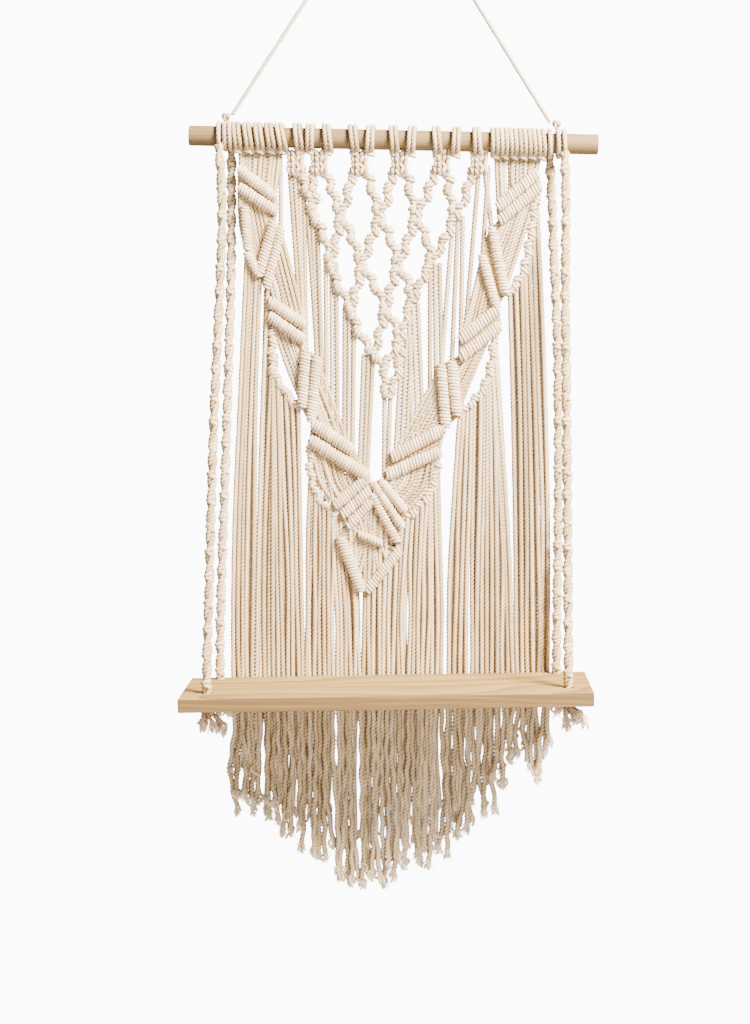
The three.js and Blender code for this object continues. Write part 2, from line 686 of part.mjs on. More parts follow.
function makeTassel(name, { way }) {
  const end = way.at(-1);
  const top = boardDrop(end.x) + BOARD.thick + STOP_KNOT.gap;
  const centre = place(end.x, top + STOP_KNOT.high, end.y);
  const parts = [knot(centre, STOP_KNOT.radius, STOP_KNOT.high, STOP_KNOT.radius)];
  for (let i = 0; i < TASSEL.locks; i += 1) {
    const angle = (i / TASSEL.locks) * Math.PI * 2;
    const out = new THREE.Vector3(Math.cos(angle), Math.sin(angle), 0);
    const length = TASSEL.length - TASSEL.shorter * (i % 3);
    const from = centre.clone().addScaledVector(out, TASSEL.rootRadius).setZ(centre.z - TASSEL.rootDrop);
    const to = centre.clone().addScaledVector(out, TASSEL.tipRadius).setZ(centre.z - length);
    parts.push(strand([from, to], 1, TASSEL.size));
  }
  return piece(`tassel_${name}`, toGeometry(joined(parts)), COTTON);
}

// The hanging cord and the knots that tie it to the rod

function makeCord() {
  const section = new THREE.Shape();
  section.absarc(0, 0, CORD_RADIUS, 0, Math.PI * 2);
  const route = CORD_ROUTE.map((stop) => place(stop.x, stop.drop));
  const extrudePath = new THREE.CatmullRomCurve3(route, false, "centripetal");
  const geometry = new THREE.ExtrudeGeometry(section, {
    steps: CORD_STEPS, extrudePath, curveSegments: CORD_SIDES / 2, bevelEnabled: false,
  });
  return piece("hanging_cord", geometry, CORD_COTTON);
}

function makeTie(name, { x, knotX }) {
  const centre = place(knotX, rodDrop(knotX) - TIE_KNOT.above);
  const lump = knot(centre, TIE_KNOT.radius, TIE_KNOT.high, TIE_KNOT.radius, 8, 6);
  const tie = joined([rodLoop(x, TIE_KNOT.ring, 1), lump]);
  return piece(`cord_tie_${name}`, toGeometry(tie), CORD_COTTON);
}

const shelf = new THREE.Group();
shelf.add(makeRod());
shelf.add(makeBoard());
shelf.add(makeMacrame());
for (const [name, rope] of Object.entries(ROPES)) {
  shelf.add(makeRope(name, rope));
  shelf.add(makeTassel(name, rope));
}
shelf.add(makeCord());
for (const [name, tie] of Object.entries(TIES)) {
  shelf.add(makeTie(name, tie));
}

export default shelf;
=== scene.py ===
# %% [markdown]
# # A macrame wall shelf
# A wooden rod carries a knotted cotton hanging. Four side ropes hold a pine board in front of it.
# Everything here is worked out in millimetres from the hook that carries the work, and is turned
# into metres when a mesh is made. X runs to the viewer's right, Y into the wall and Z up.
# A "drop" is a distance straight down from the hook, so a height is minus its drop.

# %% The frame and the tools
import math

import bmesh
import bpy
import numpy as np
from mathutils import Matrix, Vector


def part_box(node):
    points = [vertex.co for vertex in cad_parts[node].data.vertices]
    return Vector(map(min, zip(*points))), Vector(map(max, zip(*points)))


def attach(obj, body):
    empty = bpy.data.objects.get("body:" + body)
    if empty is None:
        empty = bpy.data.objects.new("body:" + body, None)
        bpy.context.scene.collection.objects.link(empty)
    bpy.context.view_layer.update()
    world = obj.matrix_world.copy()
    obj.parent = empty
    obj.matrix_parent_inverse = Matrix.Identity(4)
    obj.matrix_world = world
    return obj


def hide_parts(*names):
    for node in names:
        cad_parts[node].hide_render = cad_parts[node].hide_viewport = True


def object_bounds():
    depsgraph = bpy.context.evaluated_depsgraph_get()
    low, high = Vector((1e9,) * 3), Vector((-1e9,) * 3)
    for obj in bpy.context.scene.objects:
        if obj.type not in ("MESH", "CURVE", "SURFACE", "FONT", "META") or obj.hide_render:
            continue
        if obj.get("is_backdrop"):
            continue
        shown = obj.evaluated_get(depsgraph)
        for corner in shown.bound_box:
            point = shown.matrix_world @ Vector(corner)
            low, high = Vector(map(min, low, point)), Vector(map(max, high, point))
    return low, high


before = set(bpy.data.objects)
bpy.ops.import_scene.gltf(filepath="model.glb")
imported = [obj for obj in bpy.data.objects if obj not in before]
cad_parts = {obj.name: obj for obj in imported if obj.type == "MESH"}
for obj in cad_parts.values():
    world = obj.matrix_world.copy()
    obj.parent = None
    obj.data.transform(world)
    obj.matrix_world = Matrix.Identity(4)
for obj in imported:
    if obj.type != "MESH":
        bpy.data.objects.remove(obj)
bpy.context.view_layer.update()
print("nodes:", ", ".join(sorted(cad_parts)))

MM = 0.001
INWARD = np.array([0.0, 1.0, 0.0])
RODWARD = np.array([1.0, 0.0, 0.0])
UPWARD = np.array([0.0, 0.0, 1.0])
rng = np.random.default_rng(7)

# %% [markdown]
# ## The camera
# The photograph was taken from 2.2 m away, a little to the right and about as high as the work's
# middle, with a long lens. Its place comes from the board's and the rod's known sizes. The camera
# is made first. It, the lamps and the floor are in metres, all else in millimetres.

# %% Camera
LENS = 72.457
SENSOR = 36
CAMERA_AT = (0.0395, -2.1819, -0.4655)
LOOKING = (-0.02625, 0.99570, -0.08889)


def in_scene(name, data):
    """An object made of the data and put in the scene."""
    made = bpy.data.objects.new(name, data)
    bpy.context.scene.collection.objects.link(made)
    return made


def aim(thing, way):
    """Turns a camera or a lamp to look along a direction."""
    thing.rotation_mode = "QUATERNION"
    thing.rotation_quaternion = Vector(way).to_track_quat("-Z", "Y")


camera_data = bpy.data.cameras.new("camera")
camera_data.lens = LENS
camera_data.sensor_width = SENSOR
camera = in_scene("camera", camera_data)
camera.location = CAMERA_AT
aim(camera, LOOKING)
bpy.context.scene.camera = camera
print("camera at", CAMERA_AT)

# %% [markdown]
# ## Lines that cords follow
# Every cord lies on a line. Where a line bends, it passes through named stops in a smooth curve,
# so a few stops are enough. A cubic between neighbours keeps the stops on the line.

# %% Places and smooth lines
def at(x, drop, y=0.0):
    """A place, or many: x to the right, drop below the hook, y into the wall."""
    x, drop, y = np.broadcast_arrays(*(np.asarray(value, float) for value in (x, drop, y)))
    return np.stack([x, y, -drop], axis=-1)


def mix(a, b, t):
    """Goes from a, where t is 0, to b, where t is 1."""
    return a + (b - a) * t


def smooth_line(stops, step):
    """A curve through the stops, a point each step: between two stops it is a cubic that leaves and
    arrives along the mean direction of the spans that meet there, the shorter span counting more."""
    p = np.asarray(stops, float)
    span = np.diff(p, axis=0)
    h = np.linalg.norm(span, axis=1)[:, None]
    way = span / h
    inner = (way[:-1] * h[1:] + way[1:] * h[:-1]) / (h[1:] + h[:-1])
    lean = np.vstack([way[:1], inner, way[-1:]])
    reach = np.concatenate([[0], np.cumsum(h[:, 0])])
    s = np.linspace(0, reach[-1], max(2, int(round(reach[-1] / step)) + 1))
    i = np.clip(np.searchsorted(reach, s, side="right") - 1, 0, len(h) - 1)
    f = ((s - reach[i]) / h[i, 0])[:, None]
    return ((2 * f**3 - 3 * f**2 + 1) * p[i] + (f**3 - 2 * f**2 + f) * h[i] * lean[i]
            + (3 * f**2 - 2 * f**3) * p[i + 1] + (f**3 - f**2) * h[i] * lean[i + 1])


def distance_along(line):
    """How far each point of a line is from its start."""
    return np.concatenate([[0], np.cumsum(np.linalg.norm(np.diff(line, axis=0), axis=1))])


def places_on(line, s, where):
    """The places at some distances along a line, where s is each point's own distance."""
    return np.stack([np.interp(where, s, line[:, k]) for k in range(3)], axis=1)


def unit(v):
    """The same directions, each of length one."""
    return v / np.linalg.norm(v, axis=-1, keepdims=True)


def directions(line, up):
    """Ahead along a line, side = ahead x up and out = ahead x side, at each point."""
    ahead = unit(np.gradient(line, axis=0))
    side = unit(np.cross(ahead, up))
    return ahead, side, np.cross(ahead, side)


# %% [markdown]
# ## Cords as swept surfaces
# Cotton cord for macrame is three plies twisted together. So a cord is a ring of nine points, low
# between two plies and high on each, that is carried along its line and turned with the distance.
# A UV map keeps how many twists lie behind a face and where round the cord it is. The small cords
# that are wound in knots are plain round tubes with the same kind of UV map.

# %% Sweeping a section along a line
PLIES = 3
PLY_SHAPE = np.array([[-0.5, 0.8], [-0.2, 1.0], [0.2, 1.0]])   # share of a ply's angle, reach
LOBED = 1.06          # a crown faces a groove, so three lobes reach further than a round cord as wide
STRAND_TWIST = 12.5   # mm of a strand for one turn of its plies
SMALL_TWIST = 9.0     # mm of a smaller cord for one turn
NO_TWIST = 1e9        # a tube that doesn't turn
DRAWN_IN = 0.8        # a cord's size at its ends, as a share of its own
ROUND_SIDES = 8


def tube_faces(rows, sides):
    """A tube's four-sided faces, from ring to ring and all round, and its two end faces."""
    row = np.arange(rows - 1)[:, None] * sides
    col = np.arange(sides)[None]
    nxt = (col + 1) % sides
    quads = np.stack([row + col, row + nxt, row + sides + nxt, row + sides + col], axis=-1)
    ends = np.stack([np.arange(sides)[::-1], (rows - 1) * sides + np.arange(sides)])
    return quads.reshape(-1, 4), ends


def openness(a, lit):
    """How well light reaches a packed cord at angle a, from 0 to 1. It is 2.2 |sin a| - 0.8 where
    the light comes from out, 1.9 |cos a| - 0.6 where it comes from the side, and 1 on a lone cord.
    The cotton paints shade where it is low."""
    if lit is None:
        return np.ones(a.shape)
    facing = 2.2 * np.abs(np.sin(a)) - 0.8 if lit == "out" else 1.9 * np.abs(np.cos(a)) - 0.6
    return np.clip(facing, 0, 1)


def sweep(line, angles, reach, twist, up, across=1.0, deep=1.0, tone=0.5, ends=DRAWN_IN, lit=None,
          swell=1.0):
    """A tube: point(i, j) = line(i) + reach(j) * (across * cos(a) * side + deep * sin(a) * out),
    where a = angles(j) + 2 pi * distance(i) / twist. Returns its points, four-sided faces, end
    faces, corner UVs, tone and openness."""
    count, sides = len(line), len(angles)
    _, side, out = directions(line, up)
    turns = distance_along(line) / twist
    a = angles[None] + 2 * np.pi * turns[:, None]
    size = np.ones(count) * swell
    size[[0, -1]] *= ends
    r = reach[None] * size[:, None]
    points = (line[:, None] + (across * r * np.cos(a))[..., None] * side[:, None]
              + (deep * r * np.sin(a))[..., None] * out[:, None])
    quads, caps = tube_faces(count, sides)
    v0 = angles / (2 * np.pi)
    v1 = np.append(v0[1:], v0[0] + 1)
    grid_u = np.stack([turns[:-1], turns[:-1], turns[1:], turns[1:]], axis=-1)
    grid_u = grid_u[:, None].repeat(sides, axis=1)
    grid_v = np.stack([v0, v1, v1, v0], axis=-1)[None] + grid_u
    return dict(points=points.reshape(-1, 3), quads=quads, caps=caps,
                uv=np.stack([grid_u, grid_v], axis=-1).reshape(-1, 2),
                cap_uv=np.zeros((2 * sides, 2)) + [0, 1 / (2 * PLIES)],
                tone=np.full(count * sides, tone), open=openness(a, lit).ravel())


def cord(line, radius, twist=STRAND_TWIST, up=INWARD, tone=None, lit="out", swell=1.0):
    """A three-ply cord along a line. Its size is radius times swell, one number or one a point."""
    ply = 2 * np.pi / PLIES
    angles = (np.arange(PLIES)[:, None] * ply + PLY_SHAPE[None, :, 0] * ply).ravel()
    angles = angles + rng.uniform(0, 2 * np.pi)
    reach = np.tile(PLY_SHAPE[:, 1], PLIES) * radius * LOBED
    tone = rng.uniform(-0.3, 0.5) if tone is None else tone
    made = sweep(line, angles, reach, twist, up, tone=tone, lit=lit, swell=swell)
    # the plies keep their places in the UV map whatever the turn the cord starts with
    made["uv"][:, 1] -= angles[0] / (2 * np.pi)
    return made


def plain_cord(line, radius, twist=SMALL_TWIST, up=INWARD, across=1.0, deep=1.0, tone=None,
               ends=DRAWN_IN, sides=ROUND_SIDES, lit=None):
    """A small round cord along a line, its plies left to the surface pattern."""
    angles = np.arange(sides) * 2 * np.pi / sides
    tone = rng.uniform(0.3, 1) if tone is None else tone
    made = sweep(line, angles, np.full(sides, radius), NO_TWIST, up, across, deep, tone, ends, lit)
    along = distance_along(line)
    steps = np.stack([along[:-1], along[:-1], along[1:], along[1:]], axis=-1)[:, None]
    made["uv"][:, 0] = steps.repeat(sides, axis=1).reshape(-1) / twist
    return made


# %% [markdown]
# A hanging has thousands of small parts. Those of one kind are joined into one mesh: their points
# are stacked, and each part's faces are counted on from where its points start.

# %% From swept parts to one mesh
made_triangles = []


def joined_mesh(name, parts):
    """One smooth mesh, in metres, of many parts, with their UV map, tone and openness."""
    starts = np.cumsum([0] + [len(p["points"]) for p in parts[:-1]])
    points = np.concatenate([p["points"] for p in parts]) * MM
    quads = np.concatenate([p["quads"] + n for p, n in zip(parts, starts)])
    caps = [row + n for p, n in zip(parts, starts) for row in p["caps"]]
    corners = np.concatenate([quads.ravel(), *caps]).astype(np.int32)
    sizes = np.array([4] * len(quads) + [len(c) for c in caps])
    uv = np.concatenate([*[p["uv"] for p in parts], *[p["cap_uv"] for p in parts]])
    mesh = bpy.data.meshes.new(name)
    mesh.vertices.add(len(points))
    mesh.vertices.foreach_set("co", points.ravel())
    mesh.loops.add(len(corners))
    mesh.loops.foreach_set("vertex_index", corners)
    mesh.polygons.add(len(sizes))
    mesh.polygons.foreach_set("loop_start", (np.cumsum(sizes) - sizes).astype(np.int32))
    mesh.update(calc_edges=True)
    layer = mesh.uv_layers.new(name="yarn")
    layer.data.foreach_set("uv", uv.ravel())
    for key in ("tone", "open"):
        values = mesh.attributes.new(key, "FLOAT", "POINT")
        values.data.foreach_set("value", np.concatenate([p[key] for p in parts]))
    mesh.shade_smooth()
    return mesh


def show(name, mesh, material, nodes=()):
    """Puts a mesh in the scene as a piece that rides on the root body and replaces the nodes."""
    mesh.materials.append(material)
    piece = in_scene(name, mesh)
    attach(piece, "root")
    if nodes:
        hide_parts(*nodes)
    return piece


def make_piece(name, parts, material, nodes=()):
    """Joins parts into one piece and counts its triangles."""
    made_triangles.append(sum(2 * len(p["quads"]) + p["caps"].size - 2 * len(p["caps"]) for p in parts))
    print(f"{name}: {len(parts)} parts, {made_triangles[-1]} triangles")
    return show(name, joined_mesh(name, parts), material, nodes)


# %% [markdown]
# ## Materials
# A material is a tree of small nodes. These functions add them, so it reads like its formula.

# %% Nodes in few words
def socket(group, name, way, kind, value=None):
    """Adds a socket to a node group, with its first value where one is given."""
    made = group.interface.new_socket(name, in_out=way, socket_type=kind)
    if value is not None:
        made.default_value = value


def feed(tree, target, **values):
    """Gives a node's sockets their values: numbers, colours or the outputs of other nodes. A space
    in a socket's name is written as an underscore."""
    for key, value in values.items():
        fed = target.inputs[key.replace("_", " ")]
        if isinstance(value, bpy.types.NodeSocket):
            tree.links.new(value, fed)
        else:
            fed.default_value = value


def node(tree, kind, **settings):
    """Adds a shader node. Settings named with a capital feed its sockets."""
    made = tree.nodes.new(kind)
    for key, value in settings.items():
        if key[0].isupper():
            feed(tree, made, **{key: value})
        else:
            setattr(made, key, value)
    return made


def math_node(tree, operation, a, b=None, clamp=False):
    """One sum: a and b are numbers or the outputs of other nodes."""
    made = node(tree, "ShaderNodeMath", operation=operation, use_clamp=clamp)
    for target, value in zip(made.inputs, [a, b]):
        if isinstance(value, bpy.types.NodeSocket):
            tree.links.new(value, target)
        elif value is not None:
            target.default_value = value
    return made.outputs[0]


def times(tree, a, b):
    """The product a * b."""
    return math_node(tree, "MULTIPLY", a, b)


def new_material(name):
    """A material, its node tree and its shader."""
    material = bpy.data.materials.new(name)
    material.use_nodes = True
    return material, material.node_tree, material.node_tree.nodes["Principled BSDF"]


# %% [markdown]
# Cotton cord is matt and full of fine fibres that catch the light. The cream is lighter on top of
# each ply, and a warm brown is painted deep between plies as shade, where light doesn't reach. One
# node group reads the cord's UV map and gives three values: how far up a ply the surface is, a fibre
# pattern, and a slow change of colour from place to place.

# %% The ply and fibre group
def make_ply_group():
    """Values of a cord from its UV map, u the twists behind and v the place round it. Ply is
    |sin(pi f)| ^ 0.9, where f is the fraction of 3 (v - u). Fibre is a noise drawn out along the
    plies, and Patch is a slow noise in space."""
    tree = bpy.data.node_groups.new("cord plies and fibres", "ShaderNodeTree")
    socket(tree, "Fibre scale", "INPUT", "NodeSocketFloat", 26.0)
    for output in ("Ply", "Fibre", "Patch"):
        socket(tree, output, "OUTPUT", "NodeSocketFloat")
    given = tree.nodes.new("NodeGroupInput")
    uv = node(tree, "ShaderNodeUVMap", uv_map="yarn")
    parts = node(tree, "ShaderNodeSeparateXYZ", Vector=uv.outputs[0])
    ply = times(tree, math_node(tree, "SUBTRACT", parts.outputs[1], parts.outputs[0]), PLIES)
    wave = math_node(tree, "SINE", times(tree, math_node(tree, "FRACT", ply), math.pi))
    crown = math_node(tree, "POWER", math_node(tree, "ABSOLUTE", wave), 0.9)
    along = node(tree, "ShaderNodeCombineXYZ", X=times(tree, parts.outputs[0], 0.9), Y=ply)
    fibre = node(tree, "ShaderNodeTexNoise", Detail=3.0, Roughness=0.65, Vector=along.outputs[0],
                 Scale=given.outputs["Fibre scale"])
    place = tree.nodes.new("ShaderNodeTexCoord")
    patch = node(tree, "ShaderNodeTexNoise", Scale=34.0, Detail=2.0, Vector=place.outputs["Object"])
    node(tree, "NodeGroupOutput", Ply=crown, Fibre=fibre.outputs["Fac"], Patch=patch.outputs["Fac"])
    return tree


ply_group = make_ply_group()
print("shared pattern:", ply_group.name)

# %% [markdown]
# The cotton's colour goes with the height on a ply, and a painted shade darkens it where strands shelter
# each other.
# Each cord also has a tone of its own, since no two lengths take the light quite alike.

# %% Cotton
# painted shade: each cotton's groove colour is a brown that stands for the shade deep between plies
CREAM, GROOVE_SHADE = (0.95, 0.73, 0.45), (0.5, 0.32, 0.17)
SMOOTH_CREAM, SMOOTH_GROOVE_SHADE = (0.84, 0.68, 0.49), (0.34, 0.20, 0.10)
# painted shade: the brown that stands for shade where strands shelter each other
SHELTER_SHADE_BROWN = (0.16, 0.085, 0.036)


def cotton(name, crown, groove, bump=0.35):
    """Cotton cord, a groove colour painted as shade between plies and the crown colour on them. The
    height of a place is 0.75 ply + 0.45 fibre. The share 0.9 open + 0.1 of the colour is kept and the
    rest is the painted shade brown. Value is 0.34 tone + 0.3 patch + 0.62, and saturation 1.1 - 0.25 tone."""
    material, tree, shader = new_material(name)
    pattern = node(tree, "ShaderNodeGroup", node_tree=ply_group).outputs
    tone = node(tree, "ShaderNodeAttribute", attribute_name="tone").outputs["Fac"]
    reached = node(tree, "ShaderNodeAttribute", attribute_name="open").outputs["Fac"]
    height = math_node(tree, "ADD", times(tree, pattern["Ply"], 0.75), times(tree, pattern["Fibre"], 0.45),
                       clamp=True)
    # painted shade: the colour goes from the groove shade up to the crown colour with the height
    colour = node(tree, "ShaderNodeMix", data_type="RGBA", Factor=height, A=(*groove, 1), B=(*crown, 1))
    # painted shade: where little light reaches a cord, its colour goes to the shade brown
    kept = math_node(tree, "ADD", times(tree, reached, 0.9), 0.1)
    painted_shelter_shade = node(tree, "ShaderNodeMix", data_type="RGBA", Factor=kept, A=(*SHELTER_SHADE_BROWN, 1),
                     B=colour.outputs["Result"])
    light = math_node(tree, "ADD", times(tree, tone, 0.34), times(tree, pattern["Patch"], 0.3))
    shade = node(tree, "ShaderNodeHueSaturation", Color=painted_shelter_shade.outputs["Result"],
                 Value=math_node(tree, "ADD", light, 0.62),
                 Saturation=math_node(tree, "SUBTRACT", 1.1, times(tree, tone, 0.25)))
    bumps = node(tree, "ShaderNodeBump", Strength=bump, Distance=0.0012, Height=height)
    feed(tree, shader, Roughness=0.9, Specular_IOR_Level=0.1, Sheen_Weight=0.06, Sheen_Roughness=0.5,
         Base_Color=shade.outputs["Color"], Normal=bumps.outputs["Normal"])
    return material


cotton_cord = cotton("cotton cord", CREAM, GROOVE_SHADE)
smooth_cotton = cotton("smooth cotton cord", SMOOTH_CREAM, SMOOTH_GROOVE_SHADE, bump=0.3)
print("cotton:", cotton_cord.name, "and", smooth_cotton.name)


def cotton_piece(name, parts, *nodes):
    """A piece of knotted cotton cord that may replace nodes."""
    make_piece(name, parts, cotton_cord, nodes)


# %% [markdown]
# Pine shows grain along the board, wide and arched where it is cut from the side of the log. Rings
# round a far, tilted axis, pushed about by a slow noise, give such arches. The board's front edge,
# and its back, are painted darker by how far they face front or back, as shade where the light from
# above reaches less. The rod's grain is faint and close.

# %% Wood grain group and the two woods
def make_grain_group():
    """Values of a plank that runs along X. Ring is the fraction of ring scale * (distance from a
    far axis + pull * noise), to the power 2.2, so it is sharp on one side as a real ring is.
    Pore is a noise drawn out along X."""
    tree = bpy.data.node_groups.new("wood grain", "ShaderNodeTree")
    socket(tree, "Ring scale", "INPUT", "NodeSocketFloat", 60.0)
    socket(tree, "Pull", "INPUT", "NodeSocketFloat", 0.12)
    for output in ("Ring", "Pore"):
        socket(tree, output, "OUTPUT", "NodeSocketFloat")
    given = tree.nodes.new("NodeGroupInput")
    place = tree.nodes.new("ShaderNodeTexCoord").outputs["Object"]
    turned = node(tree, "ShaderNodeMapping", Vector=place, Location=(0.0, 0.09, 0.93),
                  Rotation=(0.0, 0.03, 0.05), Scale=(0.22, 1.0, 1.6)).outputs[0]
    slow = node(tree, "ShaderNodeTexNoise", Scale=5.0, Detail=2.0, Vector=turned)
    parts = node(tree, "ShaderNodeSeparateXYZ", Vector=turned)
    y2 = times(tree, parts.outputs[1], parts.outputs[1])
    z2 = times(tree, parts.outputs[2], parts.outputs[2])
    radius = math_node(tree, "SQRT", math_node(tree, "ADD", y2, z2))
    pushed = math_node(tree, "ADD", radius, times(tree, slow.outputs["Fac"], given.outputs["Pull"]))
    ring = math_node(tree, "FRACT", times(tree, pushed, given.outputs["Ring scale"]))
    fine = node(tree, "ShaderNodeMapping", Vector=place, Scale=(16.0, 700.0, 700.0))
    pore = node(tree, "ShaderNodeTexNoise", Scale=1.0, Detail=3.0, Vector=fine.outputs[0])
    node(tree, "NodeGroupOutput", Ring=math_node(tree, "POWER", ring, 2.2), Pore=pore.outputs["Fac"])
    return tree


grain_group = make_grain_group()


def wood(name, early, late, ring_scale, pull, contrast, edge=0.0):
    """Wood, early colour between rings and late colour on them. The late share is contrast * ring
    + 1.2 (pore - 0.32), and more by edge * |normal y| on faces turned to the front or back, as painted
      shade."""
    material, tree, shader = new_material(name)
    pattern = node(tree, "ShaderNodeGroup", node_tree=grain_group, Ring_scale=ring_scale, Pull=pull).outputs
    pores = times(tree, math_node(tree, "SUBTRACT", pattern["Pore"], 0.32), 1.2)
    grain = math_node(tree, "ADD", times(tree, pattern["Ring"], contrast), pores, clamp=True)
    normal = tree.nodes.new("ShaderNodeNewGeometry").outputs["Normal"]
    faces = node(tree, "ShaderNodeSeparateXYZ", Vector=normal)
    # painted shade: faces turned to the front or back go toward the late colour, as if less light reached
    # them
    painted_front_shade = times(tree, math_node(tree, "ABSOLUTE", faces.outputs[1]), edge)
    amount = math_node(tree, "ADD", grain, painted_front_shade, clamp=True)
    colour = node(tree, "ShaderNodeMix", data_type="RGBA", Factor=amount, A=(*early, 1), B=(*late, 1))
    bumps = node(tree, "ShaderNodeBump", Strength=0.15, Distance=0.0004, Height=amount)
    feed(tree, shader, Specular_IOR_Level=0.2, Base_Color=colour.outputs["Result"],
         Roughness=math_node(tree, "ADD", times(tree, pattern["Pore"], 0.2), 0.5),
         Normal=bumps.outputs["Normal"])
    return material


PINE_LIGHT, PINE_DARK = (0.385, 0.228, 0.058), (0.15, 0.085, 0.03)
ROD_LIGHT, ROD_DARK = (0.22, 0.142, 0.058), (0.145, 0.085, 0.03)
# painted shade: edge=0.62 darkens the board's front edge as shade under light from above
pine = wood("pine", PINE_LIGHT, PINE_DARK, ring_scale=110.0, pull=0.12, contrast=0.65, edge=0.62)
rod_wood = wood("pale rod wood", ROD_LIGHT, ROD_DARK, ring_scale=140.0, pull=0.05, contrast=0.35)
print("woods:", pine.name, "and", rod_wood.name)

# %% [markdown]
# ## The hanging cord
# A smooth 4 mm cotton cord runs from a knot on the rod up over the hook and down to the other
# knot. The hook pulls it taut, so its two runs are straight and its bend is round.

# %% Hanging cord
CORD_RADIUS = 2.0
CORD_CROWN = 1.1   # the plies' crowns reach past the cord's mean radius
CORD_TONE = 0.4
CORD_STEP = 1.6    # mm between the line's points
CORD_ROUTE = [   # x, drop
    (-167.8, 243.4), (-160.2, 232), (-132.4, 190), (-105.9, 150), (-79.4, 110), (-53, 70),
    (-26.5, 30), (-15.9, 14), (-11.9, 8.6), (-8.7, 5), (-4.6, 2.8), (0, 2),
    (4.6, 2.8), (8.7, 5), (11.7, 8.6), (15.1, 14), (28.9, 36), (52.8, 74),
    (78.6, 115), (103.8, 155), (128.9, 195), (153.5, 234), (164.9, 252.1),
]
route_stops = np.array([at(x, drop) for x, drop in CORD_ROUTE])
cord_line = smooth_line(route_stops, CORD_STEP)
cord_part = cord(cord_line, CORD_CROWN * CORD_RADIUS, SMALL_TWIST, tone=CORD_TONE, lit=None)
hanging_cord = make_piece("hanging_cord_twisted", [cord_part], smooth_cotton,
                          ["hanging_cord"])

# %% [markdown]
# ## The rod
# The rod is a plain dowel with its end edges taken off. A profile turned round its axis gives it:
# the profile goes out along the end, round the eased edge and along the side.

# %% Rod
ROD_RADIUS = 10.5
ROD_LENGTH = 428
ROD_X = 1
ROD_DROP = 269.6
ROD_TILT = math.radians(1.39)
ROD_EDGE = 1.0
ROD_SIDES = 64
ROD_POLE = 0.02   # radius of each end's innermost ring, all but closed


def rod_drop(x):
    """Drop of the rod's axis at a place along it."""
    return ROD_DROP + (x - ROD_X) * math.tan(ROD_TILT)


def rod_part():
    """A tube whose radius is all but 0 at both ends and full between, its corners quarter rounds."""
    turn = np.linspace(0, np.pi / 2, 5)
    inset = ROD_EDGE * (1 - np.cos(turn))
    eased = ROD_RADIUS - ROD_EDGE * (1 - np.sin(turn))
    half = ROD_LENGTH / 2
    along = np.concatenate([[-half], -half + inset, (half - inset)[::-1], [half]])
    radius = np.concatenate([[ROD_POLE], eased, eased[::-1], [ROD_POLE]])
    a = np.arange(ROD_SIDES) * 2 * np.pi / ROD_SIDES
    x = along[:, None] + 0 * a
    y = radius[:, None] * np.cos(a)
    z = radius[:, None] * np.sin(a)
    c, s = math.cos(ROD_TILT), math.sin(ROD_TILT)
    points = np.stack([ROD_X + x * c + z * s, y, -ROD_DROP - x * s + z * c], axis=-1).reshape(-1, 3)
    quads, caps = tube_faces(len(along), ROD_SIDES)
    return dict(points=points, quads=quads, caps=caps, uv=np.zeros((quads.size, 2)),
                cap_uv=np.zeros((caps.size, 2)), tone=np.full(len(points), 0.5), open=np.ones(len(points)))


make_piece("turned_rod", [rod_part()], rod_wood, ["rod"])

# %% [markdown]
# ## The board
# The board is cut from pine and has four drilled holes. Its solid already has the right shape, so
# a copy of it is merged and its sharp edges are eased by a small bevel, as sandpaper does.

# %% Board
BOARD_X = -4.3
BOARD_DROP = 834.5
BOARD_THICK = 14
BOARD_TILT = math.radians(1.21)
EASED_BY = 0.8     # width of the bevel
SHARP = math.radians(50)


def board_drop(x):
    """Drop of the board's top face at a place along it."""
    return BOARD_DROP - (x - BOARD_X) * math.tan(BOARD_TILT)


def copy_of_node(name, piece_name):
    """A copy of a node's mesh, its doubled points merged and its flat faces made whole again."""
    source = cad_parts[name]
    work = bmesh.new()
    work.from_mesh(source.data)
    work.transform(source.matrix_world)
    bmesh.ops.remove_doubles(work, verts=work.verts, dist=1e-6)
    bmesh.ops.dissolve_limit(work, angle_limit=0.01, verts=work.verts, edges=work.edges)
    mesh = bpy.data.meshes.new(piece_name)
    work.to_mesh(mesh)
    work.free()
    mesh.materials.clear()
    return mesh


board = show("pine_board", copy_of_node("board", "pine_board"), pine, ["board"])
eased = board.modifiers.new("eased edges", "BEVEL")
eased.width = EASED_BY * MM
eased.segments = 3
eased.limit_method = "ANGLE"
eased.angle_limit = SHARP
board_low, board_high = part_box("board")
print("board:", [round(v, 4) for v in board_low], [round(v, 4) for v in board_high])

# %% [markdown]
# ## Loops over the rod
# Each working cord is folded over the rod, so loops come in pairs, whose strands meet in a small
# turn underneath. A loop is a ring that leans a little, and in a long row the lean grows.

# %% Loops over the rod
LOOP_RADIUS = 2.55
LOOP_REACH = ROD_RADIUS + 0.4 + LOOP_RADIUS
LOOP_STEP = 4.8
LONG_ROW = 4       # rows of more loops than this lean more and more
LEAN_GROWS = 1.6   # mm, from one end of a long row to the other


def rod_turn(x, lean):
    """One turn round the rod: a circle across the rod's axis, its foot further along than its top
    by twice lean. It starts and ends behind the rod."""
    a = np.linspace(0, 2 * np.pi, 40)
    along = x + lean * np.sin(a)
    line = at(along, rod_drop(along) + LOOP_REACH * np.sin(a), LOOP_REACH * np.cos(a))
    return cord(line, LOOP_RADIUS, up=RODWARD, lit="side")


